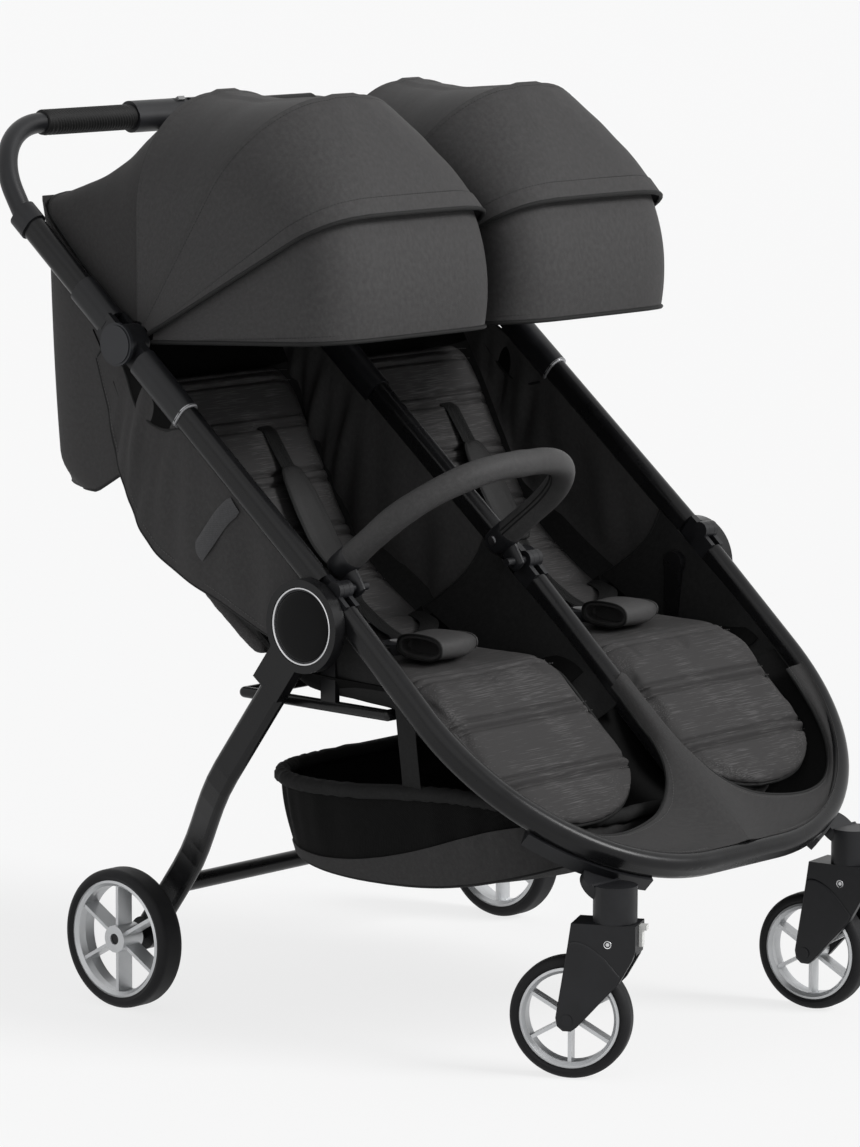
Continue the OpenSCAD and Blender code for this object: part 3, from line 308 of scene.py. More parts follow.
def loft(rings, finish):
    """A closed skin through rings of points, with both ends capped."""
    rings = np.asarray(rings, float)
    count, n = rings.shape[:2]
    points = np.vstack([rings.reshape(-1, 3), rings[0].mean(0), rings[-1].mean(0)])
    first, last = count * n, count * n + 1
    ends = [(k, (k + 1) % n) for k in range(n)]
    faces = [(i * n + a, i * n + b, (i + 1) * n + b, (i + 1) * n + a)
             for i in range(count - 1) for a, b in ends]
    faces += [(first, b, a) for a, b in ends]
    faces += [(last, (count - 1) * n + a, (count - 1) * n + b) for a, b in ends]
    uv = cut_uv(rings)
    return points, faces, finish, np.vstack([uv, uv[0], uv[-1]])


def piece(name, *parts, sharp=45):
    """One object from closed parts in millimetres, at the origin, smooth but for sharp edges."""
    points, faces, slots, finishes, uvs = [], [], [], [], []
    for part_points, part_faces, finish, uv in parts:
        base = len(points)
        points.extend((np.asarray(part_points) / 1000).tolist())
        faces.extend([base + i for i in face] for face in part_faces)
        if finish not in finishes:
            finishes.append(finish)
        slots.extend([finishes.index(finish)] * len(part_faces))
        uvs.extend(np.asarray(uv).tolist())
    mesh = bpy.data.meshes.new(name)
    mesh.from_pydata(points, [], faces)
    for finish in finishes:
        mesh.materials.append(finish)
    mesh.polygons.foreach_set("material_index", slots)
    corner = np.zeros(len(mesh.loops), np.int32)
    mesh.loops.foreach_get("vertex_index", corner)
    cut = mesh.uv_layers.new(name="cut")
    cut.data.foreach_set("uv", np.asarray(uvs, np.float32)[corner].ravel())
    shell = bmesh.new()
    shell.from_mesh(mesh)
    bmesh.ops.recalc_face_normals(shell, faces=shell.faces)
    shell.to_mesh(mesh)
    shell.free()
    mesh.shade_smooth()
    mesh.set_sharp_from_angle(angle=math.radians(sharp))
    made = bpy.data.objects.new(name, mesh)
    bpy.context.scene.collection.objects.link(made)
    return made


def place(made, body, slot, *replaced):
    """Says which CAD nodes a piece stands for and what it rides on; the slot is not used.

    The body is one name, or the two bodies of a blend and the points where it starts and ends;
    then the piece is only fixed where it stands, with no blend.
    """
    if replaced:
        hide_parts(*replaced)
    if isinstance(body, str):
        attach(made, body)
    else:
        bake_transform(made)
    return made


white_plastic = coated("white_plastic", (0.72, 0.72, 0.70), (0.62, 0.62, 0.60), grain=900,
                       gloss=0.38)
hub_bright = coated("hub_bright", (0.62, 0.62, 0.63), (0.5, 0.5, 0.51), grain=900, gloss=0.25,
                    bump=0.05, metal=0.9)
dress(moulded_black, "castor_fork_left", "castor_fork_right")
dress(white_plastic, "swivel_lock_left", "swivel_lock_right")
stem_x, stem_y = 230.0, -465.997
castor_turns = {"left": 27, "right": 9}
cheek_face = 24.5
cover_arch = smooth_line([(50.9, 168), (42, 170), (30, 167), (18, 160), (6, 150), (-4, 139),
                          (-12.5, 129.5)], 24)
cover_edge = np.vstack([cover_arch, [
    (-9, 122), (8, 103), (24.8, 85), (40.8, 67.4), (47.3, 61.9), (52, 61.3), (56.6, 61.9),
    (62.9, 66.9), (64.8, 76), (60.6, 104), (56, 134)]])
cover_in = unit(cover_edge - cover_edge.mean(0))
cover_steps = ((-0.6, 0.0), (0.5, 0.0), (1.0, 0.6), (1.3, 1.8), (1.4, 4.0))
bolt_y, bolt_z = 3.3, 168.3
bolt_rim = ((24.0, 5.0), (25.4, 5.0), (25.9, 4.6), (25.7, 3.8), (24.9, 3.5))
bolt_socket = ((24.0, 3.6), (25.1, 3.5), (24.8, 1.6), (24.3, 0.3))


def on_castor(side, sx, x, yz):
    """One ring of points at x across a fork, turned with it about its stem."""
    turn = math.radians(castor_turns[side])
    c, s = math.cos(turn), math.sin(turn)
    ring = np.column_stack([np.full(len(yz), x), yz])
    return ring @ np.array([[c, s, 0], [-s, c, 0], [0, 0, 1]]) + np.array(
        [sx * stem_x, stem_y, 0])


for side, sx in both_sides:
    covers, bolts, a = [], [], whole_turn(28)
    for hx in (-1, 1):
        covers.append(loft([on_castor(side, sx, hx * (cheek_face + out),
                                      cover_edge - shrink * cover_in)
                            for out, shrink in cover_steps], moulded_black))
        for profile, finish in ((bolt_rim, hub_bright), (bolt_socket, moulded_black)):
            bolts.append(loft([on_castor(side, sx, hx * x, np.column_stack(
                [bolt_y + r * np.cos(a), bolt_z + r * np.sin(a)])) for x, r in profile], finish))
    place(piece("fork_cover_" + side, *covers, sharp=60), "castor_" + side, "moulded_black")
    place(piece("fork_bolt_" + side, *bolts), "castor_" + side, "bright")


# ---------------------------------------------------------------------------------------------
# Wheels: moulded rims with a wide ring, a hub and six deep blades in silver paint, under solid
# foamed rubber tyres with fine grooves round the tread.
rim_silver = coated("rim_silver", (0.58, 0.59, 0.60), (0.50, 0.51, 0.52), grain=1600, gloss=0.34,
                    bump=0.05, metal=0.55)
tyre_rubber = coated("tyre_rubber", (0.010, 0.010, 0.011), 0.022, grain=800, gloss=0.62,
                     bump=0.35, depth=0.0004, shine=0.18)
for wheel in ("front_%s_left", "front_%s_right", "rear_%s_left", "rear_%s_right"):
    dress(rim_silver, wheel % "rim")
    dress(tyre_rubber, wheel % "tyre")


# ---------------------------------------------------------------------------------------------
# Rear legs: flat tubes below a round moulded head on the hub shaft, joined near the floor by the
# cross tube that carries the brake. Each head holds a turned bright ring and a plain domed cap.
cap_black = coated("cap_gloss_black", (0.003, 0.003, 0.0032), (0.004, 0.004, 0.0045),
                   grain=1500, gloss=0.14, bump=0.02, depth=0.0001, shine=0.08)
dress(tube_black, "rear_legs", "rear_cross_tube")
dress(hub_bright, "hub_trim")
dress(moulded_black, "brake_pedal")
hub_y, hub_z = -95, 520
hub_cap = ((373.5, 42.8), (375.4, 42.6), (376.4, 41.6), (376.9, 39.5), (377.6, 30), (378.1, 18),
           (378.3, 6), (378.3, 0.4))
hub_ring = ((373.0, 47.6), (376.4, 47.6), (377.6, 47.2), (378.0, 46.4), (377.8, 45.6),
            (376.6, 44.9), (373.0, 44.9))
hub_seat = ((373.0, 44.9), (375.6, 44.9), (376.0, 44.0), (375.6, 42.9), (373.0, 42.9))
for side, sx in both_sides:
    a = whole_turn(72)
    rounds = [loft([np.stack([np.full(72, sx * x), hub_y + r * np.cos(a), hub_z + r * np.sin(a)],
                             axis=1) for x, r in profile], finish)
              for profile, finish in ((hub_cap, cap_black), (hub_ring, hub_bright),
                                      (hub_seat, moulded_black))]
    place(piece("hub_cap_" + side, *rounds, sharp=50), "rear_frame", "bright", "hub_trim")


# ---------------------------------------------------------------------------------------------
# Seat pads: one quilted pad on each side that runs over the seat and falls over the knee to a
# rounded calf end. Heathered polyester over foam, sewn across in double rows, edge in piping.
def tube(path, radius, finish, n=10, side=(0, 0, 1), flat=1.0):
    """A round or flattened tube along a path; side is where its flat axis starts from."""
    path = np.asarray(path, float)
    r = np.broadcast_to(np.asarray(radius, float), len(path))
    t = unit(np.gradient(path, axis=0))
    u = unit(np.asarray(side, float) - (t @ np.asarray(side, float))[:, None] * t)
    w = np.cross(t, u)
    a = whole_turn(n)
    rings = path[:, None] + r[:, None, None] * (
        flat * np.cos(a)[None, :, None] * u[:, None] + np.sin(a)[None, :, None] * w[:, None])
    return loft(rings, finish)


def cloth(rows, finish, thick):
    """A thin closed shell round a grid of points, with its weave laid out in metres."""
    rows = np.asarray(rows, float)
    n = np.cross(np.gradient(rows, axis=0), np.gradient(rows, axis=1))
    n /= np.maximum(np.linalg.norm(n, axis=2), 1e-9)[:, :, None]
    high, wide = rows.shape[:2]
    size = high * wide
    half = n * thick / 2
    points = np.vstack([(rows + half).reshape(-1, 3), (rows - half).reshape(-1, 3)])
    quads = [(i * wide + j, i * wide + j + 1, (i + 1) * wide + j + 1, (i + 1) * wide + j)
             for i in range(high - 1) for j in range(wide - 1)]
    grid = np.arange(size).reshape(high, wide)
    edge = [int(k) for k in np.concatenate([grid[0], grid[1:, -1], grid[-1, -2::-1],
                                            grid[-2:0:-1, 0]])]
    faces = quads + [tuple(size + k for k in reversed(q)) for q in quads]
    faces += [(a, a + size, b + size, b) for a, b in zip(edge, edge[1:] + edge[:1])]
    uv = cut_uv(rows)
    return points, faces, finish, np.vstack([uv, uv])


def sheet_piece(name, rows, finish, thick, body, slot, held, rests_on, *replaced):
    """A cut of cloth as one piece."""
    made = place(piece(name, cloth(rows, finish, thick)), body, slot, *replaced)
    return made


def settle(made):
    """Turns an object's modifiers into plain mesh."""
    shape = made.evaluated_get(bpy.context.evaluated_depsgraph_get())
    mesh = bpy.data.meshes.new_from_object(shape)
    made.modifiers.clear()
    made.data = mesh
    return made


def rounded(made):
    """One subdivision and smooth shading."""
    smooth = made.modifiers.new("smooth", "SUBSURF")
    smooth.levels = smooth.render_levels = 1
    settle(made).data.shade_smooth()
    return made


def points_of(mesh):
    co = np.zeros(len(mesh.vertices) * 3, np.float32)
    mesh.vertices.foreach_get("co", co)
    return co.reshape(-1, 3).astype(float)


def move_points(made, co):
    made.data.vertices.foreach_set("co", co.astype(np.float32).ravel())
    made.data.update()


def stuffed(made, finish, cap, voxel=0.005, pressure=4.0, steps=20):
    """Fills a closed pad with a short cloth run; no point moves further than cap metres."""
    even = made.modifiers.new("even", "REMESH")
    even.mode, even.voxel_size = "VOXEL", voxel
    settle(made)
    before = points_of(made.data)
    fill = made.modifiers.new("fill", "CLOTH")
    fill.settings.quality = 5
    fill.settings.use_pressure = True
    fill.settings.uniform_pressure_force = pressure
    fill.settings.effector_weights.gravity = 0
    for step in range(1, steps + 1):
        bpy.context.scene.frame_set(step)
    swollen = made.evaluated_get(bpy.context.evaluated_depsgraph_get()).to_mesh()
    move = points_of(swollen) - before
    made.modifiers.clear()
    bpy.context.scene.frame_set(1)
    size = np.linalg.norm(move, axis=1)[:, None]
    move_points(made, before + move * np.minimum(1, cap / np.maximum(size, 1e-9)))
    rounded(made)
    made.data.materials.clear()
    made.data.materials.append(finish)
    return made


# Heather: pale slubs that run across the piece in uneven clusters over a charcoal ground
heather, given, put = pattern_group("heather_pattern", {
    "Colour": paint((0.046, 0.0445, 0.0445)), "Slub": paint((0.14, 0.136, 0.136)),
    "Gloss": 0.74, "Share": 0.5})
stretch = shader_node(heather, "VectorMath", operation="MULTIPLY")
stretch.inputs[1].default_value = (30, 1050, 1050)
heather.links.new(given["Vector"], stretch.inputs[0])
threads = shader_node(heather, "TexNoise", Scale=1.0, Detail=2.0, Roughness=0.55)
heather.links.new(stretch.outputs[0], threads.inputs["Vector"])
patches = shader_node(heather, "TexNoise", Scale=17.0, Detail=2.0)
heather.links.new(given["Vector"], patches.inputs["Vector"])
slubs = shader_node(heather, "MapRange", From_Min=0.54, From_Max=0.72)
heather.links.new(swayed(heather, threads.outputs[0], patches, 0.5), slubs.inputs[0])
pale = calc(heather, "MULTIPLY", slubs.outputs[0], given["Share"])
heather.links.new(blend_colour(heather, pale, given["Colour"], given["Slub"]), put["Color"])
heather.links.new(calc(heather, "SUBTRACT", given["Gloss"], calc(
    heather, "MULTIPLY", slubs.outputs[0], 0.18)), put["Roughness"])
heather.links.new(threads.outputs[0], put["Height"])
heather_grey = surface("heather_grey", heather, {}, bump=0.35, depth=0.0008, shine=0.14)

# Plain weave: two crossing threads with slow uneven wear, laid along the cut of the cloth
weave, given, put = pattern_group("weave_pattern", {
    "Colour": paint(0.03), "Thread": paint(0.055), "Count": 900.0, "Gloss": 0.75})
crossing = shader_node(weave, "SeparateXYZ")
weave.links.new(given["Vector"], crossing.inputs[0])
waves = calc(weave, "MULTIPLY", given["Count"], 6.28318)
warp, weft = (calc(weave, "SINE", calc(weave, "MULTIPLY", crossing.outputs[k], waves))
              for k in (0, 1))
over_under = calc(weave, "MULTIPLY", warp, weft)
uneven = shader_node(weave, "TexNoise", Scale=170.0, Detail=4.0, Roughness=0.75)
weave.links.new(given["Vector"], uneven.inputs["Vector"])
share = calc(weave, "ADD", calc(weave, "MULTIPLY", over_under, 0.3), calc(
    weave, "MULTIPLY", calc(weave, "SUBTRACT", uneven.outputs[0], 0.32), 1.5))
weave.links.new(blend_colour(weave, share, given["Colour"], given["Thread"]), put["Color"])
weave.links.new(swayed(weave, given["Gloss"], uneven, 0.25), put["Roughness"])
weave.links.new(over_under, put["Height"])


def woven(name, colour, thread, count, gloss, shine, bump=0.3, depth=0.0003):
    return surface(name, weave, {"Colour": paint(colour), "Thread": paint(thread),
                                 "Count": count, "Gloss": gloss}, bump, depth, "UV", shine)


piping_black = woven("piping_black", 0.010, 0.024, count=700, gloss=0.6, shine=0.15)
thread_grey = coated("thread_grey", (0.075, 0.074, 0.073), 0.12, grain=2500, gloss=0.55, bump=0.2)

# Stitch rows: short threads laid end to end along a line, with a gap between each two
stitch_tree = bpy.data.node_groups.new("stitch_row", "GeometryNodeTree")
stitch_in = {}
for label, kind in (("Line", "Geometry"), ("Pitch", "Float"), ("Length", "Float"),
                    ("Width", "Float"), ("Thread", "Material")):
    stitch_in[label] = stitch_tree.interface.new_socket(
        label, in_out="INPUT", socket_type="NodeSocket" + kind).identifier
stitch_tree.interface.new_socket("Stitches", in_out="OUTPUT", socket_type="NodeSocketGeometry")
stitch_given = stitch_tree.nodes.new("NodeGroupInput").outputs
stitch_put = stitch_tree.nodes.new("NodeGroupOutput").inputs
to_curve = stitch_tree.nodes.new("GeometryNodeMeshToCurve")
spaced = stitch_tree.nodes.new("GeometryNodeResampleCurve")
spaced.mode = "LENGTH"
one_stitch = stitch_tree.nodes.new("GeometryNodeMeshIcoSphere")
one_stitch.inputs["Radius"].default_value = 0.5
one_stitch.inputs["Subdivisions"].default_value = 1
heading = stitch_tree.nodes.new("GeometryNodeInputTangent")
turned = stitch_tree.nodes.new("FunctionNodeAlignRotationToVector")
turned.axis = "X"
measure = stitch_tree.nodes.new("ShaderNodeCombineXYZ")
laid = stitch_tree.nodes.new("GeometryNodeInstanceOnPoints")
made_real = stitch_tree.nodes.new("GeometryNodeRealizeInstances")
coloured = stitch_tree.nodes.new("GeometryNodeSetMaterial")
for start, end in ((stitch_given["Line"], to_curve.inputs["Mesh"]),
                   (to_curve.outputs["Curve"], spaced.inputs["Curve"]),
                   (stitch_given["Pitch"], spaced.inputs["Length"]),
                   (heading.outputs[0], turned.inputs["Vector"]),
                   (stitch_given["Length"], measure.inputs[0]),
                   (stitch_given["Width"], measure.inputs[1]),
                   (stitch_given["Width"], measure.inputs[2]),
                   (spaced.outputs["Curve"], laid.inputs["Points"]),
                   (one_stitch.outputs["Mesh"], laid.inputs["Instance"]),
                   (turned.outputs[0], laid.inputs["Rotation"]),
                   (measure.outputs[0], laid.inputs["Scale"]),
                   (laid.outputs[0], made_real.inputs[0]),
                   (made_real.outputs[0], coloured.inputs["Geometry"]),
                   (stitch_given["Thread"], coloured.inputs["Material"]),
                   (coloured.outputs[0], stitch_put[0])):
    stitch_tree.links.new(start, end)


def stitches(name, lines, body, slot="cloth_charcoal", thread=thread_grey):
    """Rows of stitches along lines in millimetres, as one plain mesh."""
    mesh = bpy.data.meshes.new(name)
    points, edges = [], []
    for line in lines:
        base = len(points)
        points.extend((np.asarray(line) / 1000).tolist())
        edges.extend((base + i, base + i + 1) for i in range(len(line) - 1))
    mesh.from_pydata(points, edges, [])
    made = bpy.data.objects.new(name, mesh)
    bpy.context.scene.collection.objects.link(made)
    row = made.modifiers.new("row", "NODES")
    row.node_group = stitch_tree
    for label, value in (("Pitch", 4.6 / 1000), ("Length", 3.4 / 1000), ("Width", 0.9 / 1000),
                         ("Thread", thread)):
        row[stitch_in[label]] = value
    settle(made).data.shade_smooth()
    return place(made, body, slot)


def piping(name, line, radius, side, body):
    """A black cord sewn along a line."""
    return place(piece(name, tube(line, radius, piping_black, n=8, side=side)), body,
                 "cloth_black")


def pressed(wave, power):
    """A sine or cosine pressed towards a square wave."""
    return np.sign(wave) * np.abs(wave) ** power


def steps_along(line):
    return np.concatenate([[0], np.cumsum(np.linalg.norm(np.diff(line, axis=0), axis=1))])


def value_at(s, steps, columns):
    """What a table of columns says at distance s along its line."""
    return np.array([np.interp(s, steps, column) for column in columns.T])


def off_line(x, at, out, n):
    """Points at x across the part, n off a profile's point (y, z) along its normal."""
    return np.stack(np.broadcast_arrays(x, at[0] + n * out[0], at[1] + n * out[1]), axis=-1)


def unrolled(co, line, steps, runs, outs):
    """Each point's distance along a profile, its height off it, and the normal there."""
    near = np.linalg.norm(co[:, None, 1:] - line[None], axis=2).argmin(1)
    off = co[:, 1:] - line[near]
    return steps[near] + (off * runs[near]).sum(1), (off * outs[near]).sum(1), outs[near]


row_apart = 7


def quilted(s, mark, deep, ridge):
    """How far a double row of stitches draws the cloth in, with a low ridge between the rows."""
    return (deep * np.exp(-((s - mark + row_apart) / 3.0) ** 2)
            + deep * np.exp(-((s - mark - row_apart) / 3.0) ** 2)
            - ridge * np.exp(-((s - mark) / 3.6) ** 2))


def ripples(seed, count, quickest, size, x, s):
    """Slow uneven waves in filled cloth."""
    rng = np.random.default_rng(seed)
    total = np.zeros(len(x))
    for wave in range(count):
        fx, fs, ph = rng.uniform(0.01, 0.03), rng.uniform(0.03, quickest), rng.uniform(0, 6.28)
        total += size * np.sin(fx * x + fs * s + ph)
    return total


pad_x, pad_half, pad_round = 174, 139.0, 122
pad_line = smooth_line([(34, 492), (-4, 474), (-45, 463), (-90, 459), (-140, 458), (-190, 456.5),
                        (-222, 449), (-250, 428), (-300, 381), (-350, 333), (-391, 293.5)], 90)
pad_steps = steps_along(pad_line)
pad_long = pad_steps[-1]


def pad_at(s):
    """Top line point, direction and outward normal of the seat pad at distance s."""
    at, after, before = (value_at(t, pad_steps, pad_line)
                         for t in (s, min(s + 2, pad_long), max(s - 2, 0)))
    run = unit(after - before)
    return at, run, np.array([run[1], -run[0]]) * np.sign(-run[0])


def pad_width(s):
    """Half width: straight sides that draw in a little, then a full round at the calf end."""
    straight = pad_long - pad_round
    end = max(0.0, (s - straight) / pad_round)
    return (pad_half - 3 * math.sin(math.pi * min(s / straight, 1))) * math.sqrt(
        max(0.0, 1 - min(1, end) ** 2.6)) + 0.6


pad_rows = np.concatenate([[0, 1.5, 5, 11], np.linspace(18, pad_long - 16, 74),
                           pad_long - np.array([9, 4, 1.2, 0])])
pad_runs, pad_outs = (np.array([pad_at(s)[k] for s in pad_steps]) for k in (1, 2))
knee = pad_steps[np.abs(pad_line - np.array([-231.0, 448.0])).sum(1).argmin()]
# each double row: where it lies, how deep it draws in, its ridge, and where the thread lies
pad_channels = ((knee - 29, 2.6, 0.8, -3.2), (knee + 56, 6.0, 2.4, -6.0),
                (knee + 145, 6.0, 2.4, -6.0))
piping_rows = np.concatenate([np.linspace(24, pad_long - 120, 40), pad_long - 120 + 119.6 * np.sin(
    np.linspace(0, math.pi / 2, 40))])
for side, sx in both_sides:
    rings, a = [], whole_turn(44)
    for s in pad_rows:
        at, run, out = pad_at(s)
        thick = 25 - 10 * min(1, max(0, (s - 250) / 90))
        tip = math.sqrt(max(0.02, min(1, s / 12))) * math.sqrt(
            max(0.02, min(1, (pad_long - s) / 9)))
        x = pressed(np.cos(a), 0.45) * (pad_width(s) - 1)
        n = pressed(np.sin(a), 0.6) * thick / 2 * tip - thick / 2 - 4
        rings.append(off_line(sx * pad_x + x, at, out, n))
    pad = stuffed(piece("seat_pad_cushion_" + side, loft(rings, heather_grey)), heather_grey,
                  cap=0.0065)
    co = points_of(pad.data) * 1000
    s_at, lift, outs = unrolled(co, pad_line, pad_steps, pad_runs, pad_outs)
    across_at = np.abs(co[:, 0] - sx * pad_x)
    top = np.clip((lift + 14) / 8, 0, 1)
    inner = np.clip((np.array([pad_width(s) for s in s_at]) - across_at) / 22, 0, 1)
    drop = sum(quilted(s_at, mark, deep, ridge) for mark, deep, ridge, _ in pad_channels)
    drop = drop * top * np.minimum(1, 0.35 + inner)
    drop -= ripples(7 + sx, 9, 0.09, 0.16, co[:, 0], s_at) * top
    co[:, 1:] -= outs * (drop + np.maximum(0, lift - 1.5))[:, None]
    move_points(pad, co / 1000)
    place(pad, "chassis", "cloth_charcoal", "seat_pad_" + side, "calf_pad_" + side)

    # the cord lies where the filled pad is widest, measured out from its middle line
    edge_line = []
    for s in piping_rows:
        start = np.array([0, min(s, pad_long - pad_round)])
        toward = unit(np.array([pad_width(s), s - start[1]]))
        spread = np.stack([across_at, s_at], axis=1) - start
        close = np.abs(spread @ np.array([toward[1], -toward[0]])) < 7
        edge_line.append(start + toward * ((spread[close] @ toward).max() - 1.0))
    edge_line = np.array(edge_line)
    for smoothing in range(4):
        edge_line[1:-1] = (edge_line[:-2] + 2 * edge_line[1:-1] + edge_line[2:]) / 4
    edge_line[-1, 0] = 0.5
    cord = []
    for x, s in np.vstack([edge_line, edge_line[::-1] * np.array([-1, 1])]):
        at, run, out = pad_at(min(s, pad_long))
        cord.append(off_line(sx * pad_x + x, at, out, -13))
    piping("seat_pad_piping_" + side, cord, 2.6, (0, 0.7, 0.7), "chassis")
    rows, u = [], np.linspace(-1, 1, 30)
    for mark, _, _, sink in pad_channels:
        for s in (mark - row_apart, mark + row_apart):
            at, run, out = pad_at(s)
            rows.append(off_line(sx * pad_x + u * (pad_width(s) - 9), at, out,
                                 sink - 2.6 * u ** 6))
    stitches("seat_pad_sewing_" + side, rows, "chassis")

# Slings: the plain black seat cloth under each pad, laced to the seat rails along both sides
lining_black = woven("lining_black", 0.004, 0.009, count=800, gloss=0.8, shine=0.05)
back_x = 173.5
for side, sx in both_sides:
    rows, u = [], np.linspace(-1, 1, 41)
    for s in np.linspace(6, knee + 8, 34):
        at, run, out = pad_at(s)
        n = -12 - 25 * min(1, s / 90) + (26 + 6 * min(1, s / 90)) * np.abs(u) ** 10
        rows.append(off_line(sx * back_x + 157.5 * u, at, out, n))
    sheet_piece("seat_sling_" + side, rows, lining_black, 1.6, "chassis", "cloth_black",
                "stretched", ["seat_frame"])


# ---------------------------------------------------------------------------------------------
# Footwell panel: a stitched cloth apron along the inside of the bow with a tongue between the
# two wells, drawn over the spine. Below hangs the dark cloth of the wells.
panel_cloth = woven("panel_cloth", (0.036, 0.0355, 0.0355), (0.068, 0.066, 0.066), count=1100,
                    gloss=0.72, shine=0.12)
bow_reach, bow_round, bow_flat, apron_inset = 473, 280, 67, 7
flat_share = bow_flat / (bow_flat + math.radians(90) * (bow_round - apron_inset))


def apron_edge(u):
    """Outer edge (x, s) of the panel from the middle of the bow round to the end of the well."""
    if u < flat_share:
        return bow_flat * u / flat_share, bow_reach - apron_inset
    turn = math.radians(90 * (u - flat_share) / (1 - flat_share))
    r = bow_round - apron_inset
    return bow_flat + r * math.sin(turn), bow_reach - bow_round + r * math.cos(turn)


# the well's edge: down the tongue from its tip, round the calf end and back along the outer tube
well = smooth_line([(13, 203), (14, 250), (19, 300), (42, 352), (84, 388), (134, 404), (185, 408),
                    (228, 398), (262, 374), (288, 340), (305, 300), (314, 258), (318, 225)], 70)
tongue_rows = 22
outer = np.vstack([smooth_line([(0, 194), (0, 250), (0, 310), (0, 388), (0, 466)], tongue_rows),
                   [apron_edge(u) for u in np.linspace(0.02, 0.93, 48)]])
for side, sx in both_sides:
    rows = []
    for k in np.linspace(0, 1, 15):
        line = []
        for i, (x, s) in enumerate(well + (outer - well) * k):
            rise = 7.5 + 12.5 * math.exp(-(x / 46) ** 2)
            ridge = 14.6 + 4 * math.exp(-(x / 14) ** 2)
            rise += (ridge - rise) * k ** 5 * (i >= tongue_rows - 1)
            rise -= (6.5 + 7 * min(1, max(0, (330 - s) / 60)) * (abs(x) < 60)) * (1 - k) ** 4
            line.append((sx * x, *lower(s, rise)))
        rows.append(line)
    rows = np.array(rows)
    sheet_piece("footwell_apron_" + side, rows, panel_cloth, 2.2, "chassis", "cloth_charcoal",
                "stretched", ["front_frame_tube", "centre_spine_tube"], "footwell_panel")
    piping("footwell_binding_" + side, rows[0], 2.4, (0, 0.66, 0.75), "chassis")
    above_cloth = np.array([0, -0.8, 0.9])
    stitches("footwell_sewing_" + side, [rows[1] + (rows[1] - rows[0]) * 0.2 + above_cloth,
                                         rows[13][28:] + above_cloth], "chassis")

liner_rows, bow_start, liner_round = [], 193, 269
for v in 1 - (1 - np.linspace(0, 1, 34)) ** 1.7:
    s = 186 + 275 * v
    half = 336.0 if s < bow_start else bow_flat + math.sqrt(
        max(0, liner_round ** 2 - (s - bow_start) ** 2))
    line = []
    for u in np.linspace(-1, 1, 57):
        deep = 34 * (1 - v ** 6) + 40 * math.sin(math.pi * v) ** 0.8 * (
            1 - 0.25 * math.cos(2 * math.pi * u))
        line.append((u * half, *lower(s, -5 - (deep + 2) * (1 - abs(u) ** 7))))
    liner_rows.append(line)
sheet_piece("footwell_basin", liner_rows, lining_black, 1.8, "chassis", "cloth_black", "hung",
            ["footwell_panel"], "footwell_liner")


# ---------------------------------------------------------------------------------------------
# Crotch pads: a folded tube of smooth padded cloth on each seat, open at both ends, with the
# dark moulded buckle and its round grey button behind it, and the lap webbing to both sides.
smooth_pad = woven("smooth_pad_cloth", (0.040, 0.0395, 0.0395), (0.078, 0.076, 0.076),
                   count=1000, gloss=0.55, shine=0.18, bump=0.2)
webbing = woven("webbing_black", 0.006, 0.03, count=330, gloss=0.62, shine=0.15, bump=0.6,
                depth=0.0006)
clip_grey = coated("clip_grey", 0.22, 0.30, grain=900, gloss=0.42)
web_half = 12.5
for side, sx in both_sides:
    rings, a = [], whole_turn(36)
    for u in np.linspace(-1, 1, 25):
        swell = 1 - 0.34 * max(0, u) ** 2 + 0.05 * math.cos(3 * u)
        y = -139 + 12 * u + 38 * swell * pressed(np.cos(a), 0.8)
        z = 479.5 - 3 * u + 16 * swell * pressed(np.sin(a), 0.75)
        rings.append(np.stack([np.full(36, sx * pad_x + 53 * u), y, z], axis=1))
    rings = np.array(rings)
    middle = rings.mean(1, keepdims=True)
    hollow = middle + (rings - middle) * np.array([1, 0.84, 0.66])
    skin = np.vstack([hollow[:6][::-1], rings])
    roll_pad = rounded(piece("crotch_pad_roll_" + side, loft(skin, smooth_pad)))
    place(roll_pad, "chassis", "cloth_charcoal", "crotch_pads")
    place(piece("crotch_pad_hems_" + side, *[
        tube(np.vstack([ring, ring[:1]]), 1.5, finish, n=6, side=(1, 0, 0))
        for ring, finish in ((rings[0], piping_black), (rings[-1], smooth_pad))]),
        "chassis", "cloth_black")
    lap = []
    for hx in (-1, 1):
        line, clip = (smooth_line([(sx * pad_x + hx * x, y, z) for x, y, z in points], count)
                      for points, count in (
                          (((24, -70, 470), (70, -50, 474), (112, -18, 480), (138, 30, 484)), 24),
                          (((30, -68, 472), (47, -62, 474), (62, -55, 475)), 8)))
        lap.append(tube(line, web_half, webbing, n=10, side=(0, 0.1, 1), flat=0.09))
        lap.append(tube(clip, [10, 12, 12.5, 12.5, 12.5, 12, 11, 9], moulded_black, n=12,
                        side=(0, 0.1, 1), flat=0.32))
    place(piece("lap_straps_" + side, *lap), "chassis", "cloth_black")
dress(moulded_black, "buckles")
dress(clip_grey, "buckle_button_left", "buckle_button_right")


# ---------------------------------------------------------------------------------------------
# Basket: a tub of black net with a gathered elastic rim, a cloth band round its lower part, a
# solid bottom with a piped edge and a tab up to each front tube. It hangs slack, so its sides
# fold and its floor sags.
net_black = woven("basket_net", 0.003, 0.012, count=420, gloss=0.7, shine=0.06, bump=0.6,
                  depth=0.0006)
base_cloth = woven("basket_base_cloth", 0.014, 0.03, count=900, gloss=0.75, shine=0.08)
basket_back, basket_front, basket_low = 74.0, -369.0, 190
basket_mid = np.array([0, (basket_back + basket_front) / 2, 0])


def basket_y(v):
    return basket_back + (basket_front - basket_back) * v


def basket_rim(v):
    return 316 - 6 * math.sin(math.pi * v) + 48 * v * v - 72 * v ** 6


def basket_half(v):
    return 310 - 60 * v ** 3


def basket_out(line):
    """Level directions away from the basket's middle."""
    return unit((line - basket_mid) * np.array([1, 1, 0]))


